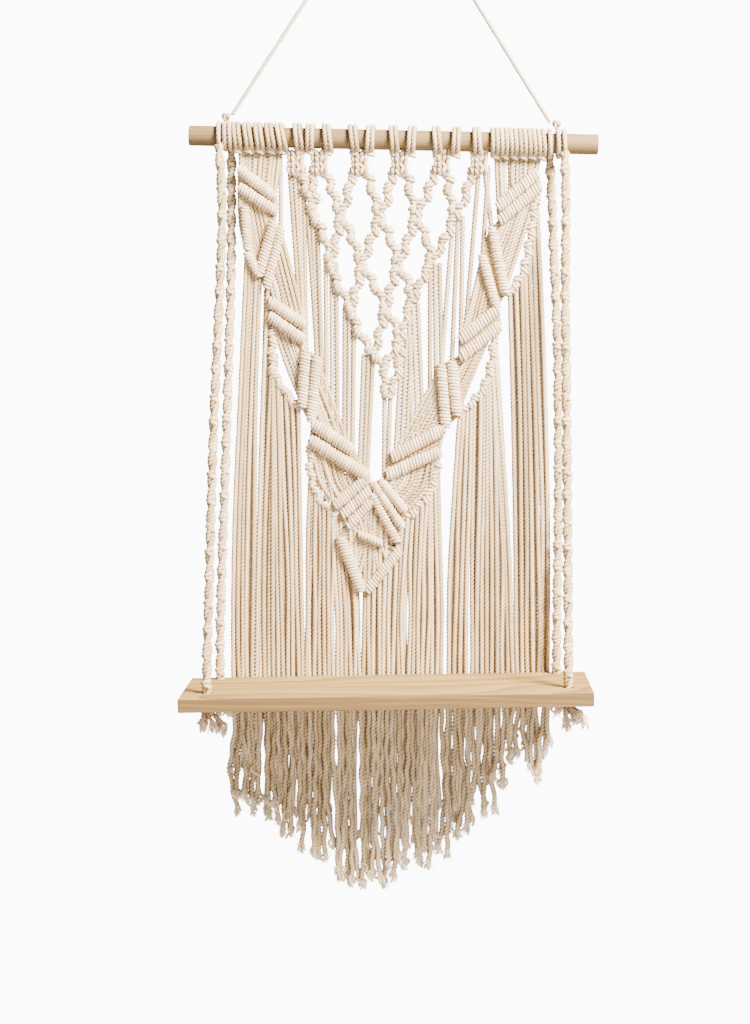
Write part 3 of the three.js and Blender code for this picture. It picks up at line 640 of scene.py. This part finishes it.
ROD_GROUPS = [   # centre, width, loops, lean of each turn
    (-139, 56, 10, 2.2), (-98, 9, 2, 1.6), (-86, 7, 2, -0.6), (-67.5, 9, 2, 1.2),
    (-40, 8, 2, 1.4), (-23, 9, 2, -1.2), (2, 12, 2, 1.2), (20, 9, 2, -1.2),
    (47, 10, 2, 1.2), (66.5, 10, 2, -1.2), (88.5, 11, 2, 0.6), (131.5, 58, 12, 0.8),
]
loop_parts = []
rod_places = []
for centre, width, count, lean in ROD_GROUPS:
    pair_gap = max(0.0, (width - count * LOOP_STEP) / max(1, count // 2 - 1))
    places = np.arange(count) * LOOP_STEP + np.arange(count) // 2 * pair_gap
    places += centre - places.mean()
    rod_places.append(places)
    for k, x in enumerate(places):
        more = LEAN_GROWS * (k / count - 0.5) if count > LONG_ROW else 0
        loop_parts.append(rod_turn(x, lean + more + rng.normal(0, 0.2)))

# %% [markdown]
# ## Wound bars and knotted chains
# A bar is a line of hitches: each strand is wound twice round a carrying cord, so the bar shows
# ridges across it. A chain is the same idea with loops that lean to the left and right in turn, so
# its edges are bumpy. Both are rings threaded on a line, and differ in a few numbers.

# %% Turns wound on a line
def wound(stops, pitch, wide, deep, radius, lean, sway=0.0, lump=0.0, plumb=False):
    """Rings on a line. Ring k is centre(k) + wide * cos(a) * across + deep * sin(a) * outward, and
    leans along the line by lean * cos(a). Where the centre sways it goes to the left and right in
    turn, ring by ring, or knot by knot where a knot is `lump` long and its rings swell in its
    middle. A bar's rings are plumb: each leans towards the way its strand hangs, and on a steep
    bar to the right and down, and its end rings are smaller. A core fills the rings, painted dark as the
    shade inside them."""
    line = smooth_line(stops, 2.0)
    s = distance_along(line)
    count = max(1, int(round(s[-1] / pitch)))
    where = (np.arange(count) + 0.5) * s[-1] / count
    centre = places_on(line, s, where)
    ahead = unit(places_on(unit(np.gradient(line, axis=0)), s, where))
    across = unit(np.cross(ahead, INWARD))
    outward = np.cross(ahead, across)
    a = np.linspace(0, 2 * np.pi, 13) + np.pi / 2
    parts = []
    for k in range(count):
        hand = 1 if (int(where[k] / lump) if lump else k) % 2 else -1
        if plumb:
            hand = 1 if abs(ahead[k, 2]) > 0.85 else np.sign(ahead[k, 2] * across[k, 2])
        grow = rng.uniform(0.93, 1.07) * (0.8 if plumb and k in (0, count - 1) else 1)
        grow *= 1 - 0.2 * math.cos(2 * math.pi * where[k] / lump) if lump else 1
        slope = lean * (hand if sway or plumb else 1) * rng.uniform(0.7, 1.3)
        ring = (centre[k] + sway * hand * across[k] + grow * wide * np.cos(a)[:, None] * across[k]
                + grow * deep * np.sin(a + np.pi)[:, None] * outward[k]
                + slope * np.cos(a)[:, None] * ahead[k])
        parts.append(plain_cord(ring, radius * rng.uniform(0.94, 1.08), up=ahead[k], lit="side"))
    core = plain_cord(line, 1.0, across=wide * 0.9, deep=deep * 0.9, tone=0.0)
    # painted shade: the core's openness is cut to a fifth, so it shows deep brown as the shade inside the
    # rings
    core["open"] *= 0.2
    return parts + [core]


BARS = {   # x and drop at one end, then at the other, and the bar's width
    "left1": (-161, 299, -122, 330, 11), "left2": (-161, 318, -121, 344, 11.5),
    "left3": (-124, 354, -140, 410, 11), "left4": (-116, 360, -133, 424, 10),
    "leftEdge": (-155, 338, -152, 384, 10), "leftHeel": (-153, 386, -139, 412, 10),
    "left5": (-130, 437, -91, 463, 12), "left6": (-130, 452, -92, 479, 12),
    "left7": (-91, 488, -95, 549, 11.5), "left8": (-79, 495, -86, 565, 11),
    "left9": (-85, 566, -41, 595, 13), "left10": (-87, 583, -26, 622, 13.5),
    "right1": (152, 304, 110, 340, 12), "right2": (155, 318, 112, 354, 12),
    "right3": (104, 360, 119, 429, 10), "right4": (94, 389, 110, 444, 10),
    "right5": (112, 445, 71, 478, 12.5), "right6": (114, 463, 71, 497, 12.5),
    "right7": (52, 504, 57, 570, 11.5), "right8": (63, 500, 69, 558, 11.5),
    "right9": (56, 571, -1, 602, 13), "right10": (50, 596, -6, 621, 12.5),
    "diamond1": (-61, 654, -29, 626, 11.5), "diamond2": (-53, 664, -23, 636, 11),
    "diamond3": (-47, 676, -21, 648, 10), "diamond4": (-13, 626, 15, 660, 10),
    "diamond5": (-19, 631, 11, 676, 9.5), "diamond6": (-22, 640, 6, 692, 9.5),
    "diamond7": (-55, 687, -32, 745, 12), "diamond8": (9, 700, -27, 745, 11),
    "gather": (-36, 683, -10, 694, 8),
}
ROD_LINES = {"rodLeft": (-160, 279.2, -116, 280.2), "rodRight": (155, 286.5, 108, 285.5)}
EDGES = {   # x and drop of each place the chain passes
    "leftUpper": [(-126, 466), (-127, 488), (-126, 510), (-117, 528), (-97, 552)],
    "leftLower": [(-86, 588), (-86, 622), (-75, 650), (-60, 663)],
    "rightTop": [(152, 316), (145, 370), (136, 410), (120, 432)],
    "rightMiddle": [(107, 461), (106, 495), (96, 530), (70, 558)],
    "rightLower": [(50, 597), (40, 640), (17, 666)],
}
BAR_FRONT = -3.5   # y of a bar's middle line

for places in rod_places:
    for x in places[:-1:2] + LOOP_STEP / 2:
        under = rod_drop(x) + ROD_RADIUS
        loop_parts += wound([at(x, under + 0.5, -2.5), at(x, under + 6.5, -2.5)], pitch=3.6, wide=3.4,
                            deep=3.0, radius=2.0, lean=1.3)
cotton_piece("rod_loops", loop_parts, "macrame")

bar_parts = []
for x0, drop0, x1, drop1, width in BARS.values():
    bar_parts += wound([at(x0, drop0, BAR_FRONT), at(x1, drop1, BAR_FRONT)], pitch=3.4,
                       wide=width / 2 - 1.5, deep=3.4, radius=1.9, lean=1.1, plumb=True)
cotton_piece("hitched_bars", bar_parts)

# %% [markdown]
# ## The net
# Each head gathers the strands of its loops and sends out one leg or two. The net's chains run
# from leg to knot and from knot to knot, a little bowed. Such chains also bind the bars' outer ends.

# %% Net of chains
HEADS = {"h1": (-101, 295), "h2": (-76, 295), "h3": (-34, 296), "h4": (8, 296), "h5": (52, 295),
         "h6": (91, 296)}
HEAD_ROWS = [(-13, 9), (-7, 8), (-1, 7), (5, 8.5)]   # drop from the head's middle, half width
NET = {   # x and drop: heads, the feet of their legs, then the knots where two chains meet
    **HEADS,
    "h1right": (-97, 303), "h2left": (-84, 306), "h2right": (-68, 308), "h3left": (-42, 307),
    "h3right": (-25, 308), "h4left": (0, 307), "h4right": (16, 308), "h5left": (44, 305),
    "h5right": (58, 307), "h6left": (83, 306),
    "j1": (-83, 345), "j2": (-54, 347), "j3": (-13, 349), "j4": (25, 348), "j5": (66, 348),
    "k1": (-65, 396), "k2": (-32, 399), "k3": (6, 400), "k4": (41, 397),
    "m1": (-44, 443), "m2": (-7, 444), "m3": (20, 438),
    "n1": (-20, 493), "n2": (9, 474), "t0": (-7, 503), "t1": (-5, 539),
}
NET_CHAINS = [   # two places and how far the middle bows to the right
    ("h1right", "j1", 1), ("h2left", "j1", 2), ("h2right", "j2", 0), ("h3left", "j2", 1.5),
    ("h3right", "j3", 0), ("h4left", "j3", 2), ("h4right", "j4", -1), ("h5left", "j4", 2.5),
    ("h5right", "j5", -2), ("h6left", "j5", 3),
    ("j1", "k1", 3), ("j2", "k1", 1), ("j2", "k2", 1.5), ("j3", "k2", 0), ("j3", "k3", 3),
    ("j4", "k3", 1), ("j4", "k4", 3.5), ("j5", "k4", 2),
    ("k1", "m1", -3), ("k2", "m1", 1), ("k2", "m2", 1.5), ("k3", "m2", 0), ("k3", "m3", 4), ("k4", "m3", 0),
    ("m1", "n1", -3.5), ("m2", "n1", 1), ("m2", "n2", 0), ("m3", "n2", 0),
    ("n1", "t0", 0), ("n2", "t0", 2), ("t0", "t1", -2), ("n2", "t1", 5),
]
# painted shade: the net's cords are made darker, since knots hold less light than loose cord
NET_SHADE = -0.2   # knots hold less light than loose cord

net_parts = []
for a, b, bow in NET_CHAINS:
    (x0, d0), (x1, d1) = NET[a], NET[b]
    middle = at((x0 + x1) / 2 + bow, (d0 + d1) / 2, -1.0)
    head = [at(*HEADS[a[:2]])] if a[:2] in HEADS else []
    net_parts += wound([*head, at(x0, d0), middle, at(x1, d1)], pitch=3.9, wide=3.1, deep=3.0,
                       radius=2.3, lean=2.5, sway=1.4, lump=10.5)
for x, drop in HEADS.values():
    for low, half in HEAD_ROWS:
        row = [at(x - half, drop + low, -1), at(x, drop + low + 1.6, -3), at(x + half, drop + low, -1)]
        net_parts += wound(row, pitch=4.2, wide=2.7, deep=3.2, radius=2.2, lean=1.8, sway=0.8, lump=10)
for part in net_parts:
    part["tone"] = part["tone"] + NET_SHADE
cotton_piece("knotted_net", net_parts)

edge_parts = []
for stops in EDGES.values():
    line = [at(x, drop, 1.0) for x, drop in stops]
    edge_parts += wound(line, pitch=3.9, wide=2.9, deep=2.6, radius=2.1, lean=1.9, sway=1.0, lump=9.5)
cotton_piece("edge_chains", edge_parts)

# %% [markdown]
# ## Strands
# Between the bars the strands lie side by side in fans. The two wide fans above the diamond sag a
# little, and so does the small one at the left. Behind the net single strands run from its knots
# down to the bars, and between the two bars of a pair only dark strands show.

# %% Strands between named lines
STRAND_RADIUS = 2.6
SAGGING_RADIUS = 2.75
BAND_RADIUS = 2.3      # strands that run down beside a fan
BETWEEN_RADIUS = 3.0   # dark strands between two bars
STEP = 1.7             # mm between a short strand's points


def spot(name, share):
    """The place at a share of a named bar, chain or line under the rod, as x and drop."""
    if name in EDGES:
        stops = np.array(EDGES[name], float)
        where = np.clip(share, 0, 1) * (len(stops) - 1)
        return tuple(np.interp(where, np.arange(len(stops)), stops[:, k]) for k in range(2))
    x0, d0, x1, d1 = (BARS.get(name) or ROD_LINES[name])[:4]
    return mix(x0, x1, share), mix(d0, d1, share)


FANS = [   # strands, line left and its two shares, line reached and its two shares, sag
    (12, "rodLeft", 0.02, 0.95, "left1", 0.05, 0.95, 0),
    (8, "left2", 0.15, 0.95, "left3", 0.93, 0.08, 0),
    (8, "left4", 0.95, 0.08, "left5", 0.05, 0.95, 0),
    (8, "left6", 0.08, 0.95, "left7", 0.95, 0.05, 0),
    (8, "left8", 0.95, 0.05, "left9", 0.06, 0.92, 0),
    (12, "left10", 0.04, 0.97, "diamond1", 0.04, 0.95, 0.16),
    (11, "rodRight", 0.02, 0.98, "right1", 0.05, 0.96, 0),
    (9, "right2", 0.08, 0.95, "right3", 0.95, 0.05, 0),
    (8, "right4", 0.95, 0.05, "right5", 0.05, 0.95, 0),
    (7, "right6", 0.25, 0.95, "right8", 0.95, 0.05, 0),
    (9, "right7", 0.95, 0.05, "right9", 0.05, 0.95, 0),
    (11, "right10", 0.08, 0.97, "diamond4", 0.95, 0.08, 0.14),
    (6, "diamond3", 0.1, 0.95, "gather", 0.1, 0.5, 0),
    (6, "diamond6", 0.05, 0.9, "gather", 0.5, 0.9, 0),
    (7, "gather", 0.0, 0.5, "diamond7", 0.05, 0.95, 0),
    (7, "gather", 0.5, 1.0, "diamond8", 0.95, 0.05, 0),
    (5, "left2", 0.02, 0.2, "leftHeel", 0.15, 0.95, 0.1),
    (5, "left10", 0.0, 0.14, "leftLower", 0.3, 1.0, 0),
    (8, "right10", 0.0, 0.34, "rightLower", 0.3, 1.0, 0),
    (3, "diamond3", 0.0, 0.12, "diamond7", 0.0, 0.1, 0),
    (3, "diamond6", 0.9, 1.0, "diamond8", 0.0, 0.1, 0),
]
fan_parts = []
for count, start, a, b, end, to_a, to_b, sag in FANS:
    for t in np.linspace(0, 1, count):
        x0, d0 = spot(start, mix(a, b, t))
        x1, d1 = spot(end, mix(to_a, to_b, t))
        y = rng.uniform(0.2, 2.8)
        bow = at(mix(x0, x1, 0.5 - sag) + rng.normal(0, 0.8), mix(d0, d1, 0.5 + sag), y - 1.2)
        radius = SAGGING_RADIUS if sag else STRAND_RADIUS
        fan_parts.append(cord(smooth_line([at(x0, d0, y), bow, at(x1, d1, y)], STEP), radius))
cotton_piece("fans_of_strands", fan_parts)

NET_STRANDS = {   # place in the net: shift to the right, bar reached and the share along it
    "h1": [(-7, "left5", 0.85), (-2, "left5", 0.95), (3, "left6", 0.98), (8, "left7", 0.03)],
    "j1": [(-6, "left8", 0.02), (-1, "left8", 0.10), (4, "left9", 0.28)],
    "k1": [(-5, "left9", 0.36), (1, "left9", 0.5), (6, "left9", 0.62)],
    "m1": [(-6, "left9", 0.78), (-1, "left9", 0.88), (4, "left9", 0.98)],
    "n1": [(-10, "left10", 0.86), (-5, "left10", 0.94), (0, "left10", 0.99)],
    "t1": [(-3, "diamond4", 0.16), (3, "right10", 0.97)],
    "n2": [(2, "right9", 0.92), (7, "right9", 0.82), (12, "right9", 0.72)],
    "m3": [(-3, "right9", 0.6), (2, "right9", 0.5), (7, "right9", 0.4)],
    "k4": [(-1, "right9", 0.28), (4, "right9", 0.16), (9, "right7", 0.03)],
    "j5": [(-2, "right7", 0.02), (3, "right8", 0.02), (8, "right6", 0.97)],
    "h6": [(0, "right6", 0.9), (5, "right3", 0.03), (10, "right4", 0.05)],
}
BAND_STRANDS = [   # line and share along it, line reached and share
    ("rodLeft", 0.97, "left4", 0.06), ("left2", 0.05, "leftEdge", 0.05),
]
PAIRED = {"left": (1, 3, 5, 7, 9), "right": (1, 3, 5, 7, 9), "diamond": (1, 2, 4, 5)}   # with the next bar
BAR_PAIRS = [(f"{side}{k}", f"{side}{k + 1}") for side, firsts in PAIRED.items() for k in firsts]
lone_parts = []
for start, strands in NET_STRANDS.items():
    x0, d0 = NET[start]
    for shift, end, share in strands:
        behind_net = [at(x0 + shift, d0, 1.0), at(*spot(end, share), 1.0)]
        lone_parts.append(cord(smooth_line(behind_net, STEP), STRAND_RADIUS))
for start, share, end, to_share in BAND_STRANDS:
    beside_fan = [at(*spot(start, share), 0.6), at(*spot(end, to_share), 0.6)]
    lone_parts.append(cord(smooth_line(beside_fan, STEP), BAND_RADIUS))
for first, second in BAR_PAIRS:
    for t in np.linspace(0.03, 0.97, 13):
        between = [at(*spot(first, t), 1.0), at(*spot(second, t), 1.0)]
        lone_parts.append(cord(smooth_line(between, 4), BETWEEN_RADIUS, tone=0.0))
cotton_piece("lone_strands", lone_parts)

# %% [markdown]
# ## Falls and fringe
# Below the bars the strands hang free and straight as far as the board, which they pass behind.
# Under it they are loose, so they swell and wave. A second, plainer row hangs behind the first.
# Each strand ends in a frayed tip, and the tips follow the fringe's uneven lower edge.

# %% Falls and fringe
FALLS = [   # strands, line left and its two shares, x of the first and last behind the board
    (5, "leftHeel", 0.0, 0.97, -170, -150), (2, "left4", 0.85, 1.0, -145.5, -141),
    (9, "leftUpper", 0.3, 0.97, -136.5, -96),
    (7, "leftLower", 0.25, 0.96, -92, -63), (6, "diamond1", -0.08, 0.6, -58.5, -35),
    (8, "diamond5", -0.25, 1.0, -30.5, 7), (9, "rightLower", 1.0, 0.1, 12, 53),
    (4, "rightMiddle", 0.98, 0.82, 60, 80), (9, "rightMiddle", 0.78, 0.08, 85, 129),
    (5, "rightTop", 0.92, 0.4, 133.5, 156), (2, "rightTop", 0.2, 0.05, 161, 167),
]
TIPS = np.array([   # x, drop of the fringe's lower edge
    (-168, 978), (-156, 968), (-140, 983), (-127, 982), (-117, 1007), (-99, 997), (-87, 1034), (-68, 1035),
    (-50, 1065), (-33, 1056), (-8, 1063), (17, 1030), (31, 1040), (59, 1029), (65, 1000), (76, 1019),
    (87, 980), (105, 991), (112, 961), (134, 912), (156, 949), (168, 914),
], float)


def tip_drop(x, index):
    """Drop of a strand's tip: the fringe's edge there, some strands a little shorter by turns."""
    return np.interp(x, TIPS[:, 0], TIPS[:, 1]) - 9 * (index % 2) - 6 * (index % 3)


def frayed_end(tip, plies=4, hairs=18, size=1.0):
    """A cut end: the plies part and curl, ply k going out at angle a as tip + out * (0.8 + 2.6 t)
    and down by length * t, bent aside by curl * sin(4.2 t). Thin fibres spread round them."""
    made = []
    for k in range(plies + hairs):
        thick = k < plies
        a = 2 * np.pi * k / plies + rng.uniform(-0.5, 0.5)
        out = np.array([math.cos(a), 0.8 * math.sin(a), 0.0]) * rng.uniform(0.4, 1.5)
        length = rng.uniform(7, 15) * size
        curl = rng.normal(0, 1.8)
        t = np.linspace(0, 1, 7 if thick else 5)[:, None]
        line = (tip + [0, 0, 3] + out * (0.8 + 2.6 * size * t) - UPWARD * length * t
                + RODWARD * curl * np.sin(4.2 * t) + INWARD * curl * np.sin(3.1 * t))
        made.append(plain_cord(line, 1.5 if thick else 0.5, sides=5 if thick else 3, ends=0.45))
    return made


def wander(place, amount, depth=0.0):
    """The place, moved a little aside and in depth at random."""
    return place + [rng.normal(0, amount), rng.normal(0, depth), 0]


def waved(line, behind_board):
    """Below the board a strand is loose: it waves by 0.8 mm * sin(2 pi s / length) aside and in
    depth, more and more down to 90 mm below. Also returns that share, from 0 to 1."""
    below = np.clip((-line[:, 2] - behind_board) / 90, 0, 1)
    s = distance_along(line)
    for way in (RODWARD, INWARD):
        turn = 2 * np.pi * (s / rng.uniform(24, 38) + rng.uniform())
        line = line + (0.8 * below * np.sin(turn))[:, None] * way
    return line, below


fall_parts, back_parts, fringe_parts = [], [], []
for count, start, a, b, board_x0, board_x1 in FALLS:
    for i, t in enumerate(np.linspace(0, 1, count)):
        x, drop = spot(start, mix(a, b, t))
        board_x = mix(board_x0, board_x1, t)
        behind_board = board_drop(board_x)
        end = tip_drop(board_x, i)
        y = rng.uniform(-0.8, 2.2)
        upper = [at(x, drop, y), wander(at(mix(x, board_x, 0.45), mix(drop, behind_board, 0.3), y), 0.8),
                 wander(at(mix(x, board_x, 0.85), mix(drop, behind_board, 0.65), y), 1.0),
                 wander(at(board_x, behind_board, 1.6), 0.5)]
        lower = [wander(at(board_x, mix(behind_board, end, 0.4), 0.5), 1.6, 1.5),
                 wander(at(board_x, mix(behind_board, end, 0.75), -0.5), 2.2, 2.2),
                 wander(at(board_x, end + 2, -0.5), 3.0, 2.5)]
        line, below = waved(smooth_line(upper + lower, 2.2), behind_board)
        fall_parts.append(cord(line, STRAND_RADIUS, swell=1 + 0.12 * below))
        fringe_parts += frayed_end(line[-1])
        if i < count - 1:
            shift = at(rng.uniform(2.4, 3.6), 0, 4.6)
            tip = wander(at(board_x, mix(behind_board, end, rng.uniform(0.7, 1.0)), 0), 3.0)
            line = smooth_line([p + shift for p in upper]
                               + [wander(lower[0], 1.0, 1.0) + shift, tip + shift * 0.5], 3.6)
            back_parts.append(plain_cord(line, STRAND_RADIUS, 11.5, sides=6))
            fringe_parts += frayed_end(line[-1], plies=3, hairs=8)
half = len(fall_parts) // 2
cotton_piece("falling_strands_left", fall_parts[:half])
cotton_piece("falling_strands_right", fall_parts[half:])
cotton_piece("rear_strands", back_parts)
cotton_piece("fringe_tips", fringe_parts)

# %% [markdown]
# ## Side ropes, stopper knots and ties
# Each side rope is two cords knotted round each other, again and again in the same sense, so the
# chain turns like a screw. It hangs from a loop on the rod, passes the board's hole and ends in a
# stopper knot whose ends are combed out.

# %% Side ropes
ROPE_TONE = -0.3
ROPES = {   # x of the loop, side of the rod, knot spacing, then x, y, drop of each place
    "left_front": (-181, -1, 27, [(-179, -14, 296), (-177, -20, 333), (-179, -34, 436),
                   (-183, -49, 540), (-187, -82, 744), (-188, -98, 828)]),
    "left_rear": (-169.5, 1, 27, [(-169.5, 10, 296), (-170, 7, 383), (-176, -1, 584), (-183, -12, 828)]),
    "right_front": (179.5, -1, 26, [(180, -14, 297), (180, -34, 437), (181, -49, 540),
                    (182, -82, 743), (182, -98, 820)]),
    "right_rear": (164.5, 1, 26, [(166, 12, 300), (170, 10, 384), (174, 6, 468), (176, 1, 583),
                   (175, -12, 820)]),
}


def twisted_pair(line, apart, pitch, radius):
    """Two cords round each other: line + apart * (cos(a) * across + sin(a) * outward), where
    a = 2 pi * distance / pitch, and the second cord half a turn on."""
    s = distance_along(line)
    _, across, outward = directions(line, INWARD)
    pair = []
    for half in (0, np.pi):
        a = 2 * np.pi * s / pitch + half
        aside = np.cos(a)[:, None] * across + np.sin(a)[:, None] * outward
        pair.append(cord(line + apart * aside, radius))
    return pair


def knotted_rope(stops, spacing):
    """A rope of two cords with a knot of three close rings every so often."""
    line = smooth_line(stops, 2.0)
    s = distance_along(line)
    parts = twisted_pair(line, 2.1, 1.45 * spacing, 3.25)
    for where in np.arange(spacing * rng.uniform(0.5, 0.9), s[-1] - 14, spacing):
        where = where + rng.normal(0, 0.8)
        knot = places_on(line, s, where + np.array([-4.5, 0.0, 4.5]))
        parts += wound(knot - [0.4, 0, 0], pitch=3.6, wide=3.0, deep=3.2, radius=2.25, lean=1.5, sway=0.5)
    for part in parts:   # light reaches a lone rope from all sides
        part["open"] = mix(0.45, 1, part["open"])
        part["tone"] = part["tone"] + ROPE_TONE
    return parts


def trefoil(centre, reach, thick):
    """An overhand knot, the closed line x = sin t + 2 sin 2t, y = -thick * sin 3t and
    z = cos t - 2 cos 2t, times reach / 3."""
    t = np.linspace(0, 2 * np.pi, 60)
    line = np.stack([np.sin(t) + 2 * np.sin(2 * t), -np.sin(3 * t) * thick,
                     np.cos(t) - 2 * np.cos(2 * t)], axis=1)
    return centre + line * reach / 3


def stopper_tassel(centre):
    """A stopper knot and five combed ends that go out from it, aside and down."""
    parts = [cord(trefoil(centre, 6.0, 2.2), 2.2)]
    for angle in np.linspace(0, 2 * np.pi, 6)[:-1]:
        out = np.array([math.cos(angle), math.sin(angle), 0.0])
        length = rng.uniform(4, 16)
        aside = np.array([rng.uniform(2, 9), 0, 0])
        line = smooth_line([centre + out * 2, centre + out * 7 + aside * 0.5 - [0, 0, length * 0.4],
                            centre + out * 9 + aside - [0, 0, length]], STEP)
        parts.append(cord(line, 2.1))
        parts += frayed_end(line[-1], hairs=14, size=1.1)
    return parts


for name, (loop_x, hand, spacing, way) in ROPES.items():
    foot_x, foot_y, _ = way[-1]
    foot = board_drop(foot_x) + BOARD_THICK
    stops = [at(loop_x, rod_drop(loop_x) + 9, hand * 10.5)] + [at(x, drop, y) for x, y, drop in way]
    stops.append(at(foot_x, foot, foot_y))
    parts = [rod_turn(loop_x, 0.4), *knotted_rope(stops, spacing)]
    cotton_piece(f"side_rope_{name}", parts, f"rope_{name}")
    parts = stopper_tassel(at(foot_x, foot + 6.5, foot_y))
    cotton_piece(f"stopper_tassel_{name}", parts, f"tassel_{name}")

# %% [markdown]
# ## Ties
# The hanging cord is tied round the rod at both ends, between the loops of the two side ropes.
# Each tie is a turn round the rod and a small overhand knot above it, where the cord comes out.

# %% Ties
TIES = {"left": (-175, -174), "right": (173, 171.5)}   # x of the turn and of the knot
for name, (ring_x, knot_x) in TIES.items():
    centre = at(knot_x, rod_drop(knot_x) - 20)
    parts = [rod_turn(ring_x, 0.3), cord(trefoil(centre, 3.4, 2.0), 1.9)]
    make_piece(f"cord_knot_{name}", parts, smooth_cotton, [f"cord_tie_{name}"])

# %% [markdown]
# ## Light, floor and background
# The photograph was taken in soft daylight against white. A pale sky gives the even light. A wide
# lamp above, in front and to the right stands for a window and gives the shadow under the board,
# and a faint, larger one fills the shadows. The camera sees a white wall behind, and a little
# light comes back from it to the rear of the work.

# %% Floor, lights and sky
FLOOR_HALF, FLOOR_BACK, FLOOR_Z = 3.0, 0.25, -1.35
WORK_MIDDLE = (0, 0, -0.6)

corners = [(x, y, FLOOR_Z) for x, y in [(-FLOOR_HALF, -FLOOR_HALF), (FLOOR_HALF, -FLOOR_HALF),
                                        (FLOOR_HALF, FLOOR_BACK), (-FLOOR_HALF, FLOOR_BACK)]]
floor_mesh = bpy.data.meshes.new("floor")
floor_mesh.from_pydata(corners, [], [(0, 1, 2, 3)])
floor = in_scene("floor", floor_mesh)
floor_paint, paint_tree, floor_shader = new_material("pale floor")
feed(paint_tree, floor_shader, Base_Color=(0.4, 0.4, 0.41, 1), Roughness=0.8)
floor_mesh.materials.append(floor_paint)
floor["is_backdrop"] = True


def lamp(name, place, target, size, power, colour):
    """A square area lamp that points at a target."""
    data = bpy.data.lights.new(name, "AREA")
    data.size = size
    data.energy = power
    data.color = colour
    made = in_scene(name, data)
    made.location = place
    aim(made, Vector(target) - Vector(place))


lamp("window", (1.3, -1.2, 1.05), WORK_MIDDLE, 0.8, 640, (1, 0.955, 0.89))
lamp("fill", (0.9, -2.2, -0.3), WORK_MIDDLE, 2.0, 16, (1, 0.98, 0.95))

wall_light = bpy.data.lights.new("light back from the wall", "SUN")
wall_light.energy = 0.9
wall_light.angle = math.radians(80)
aim(in_scene("light back from the wall", wall_light), (0.1, -1.0, -0.25))

world = bpy.data.worlds.new("studio")
world.use_nodes = True
tree = world.node_tree
sky = tree.nodes["Background"]
feed(tree, sky, Color=(0.93, 0.93, 0.97, 1), Strength=0.24)
wall = node(tree, "ShaderNodeBackground", Color=(0.95, 0.95, 1.0, 1), Strength=12.0)
seen = tree.nodes.new("ShaderNodeLightPath")
either = tree.nodes.new("ShaderNodeMixShader")
tree.links.new(seen.outputs["Is Camera Ray"], either.inputs[0])
tree.links.new(sky.outputs[0], either.inputs[1])
tree.links.new(wall.outputs[0], either.inputs[2])
tree.links.new(either.outputs[0], tree.nodes["World Output"].inputs["Surface"])
bpy.context.scene.world = world
print("light:", ", ".join(light.name for light in bpy.data.lights))

low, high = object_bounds()
print("triangles of all pieces but the board:", sum(made_triangles))
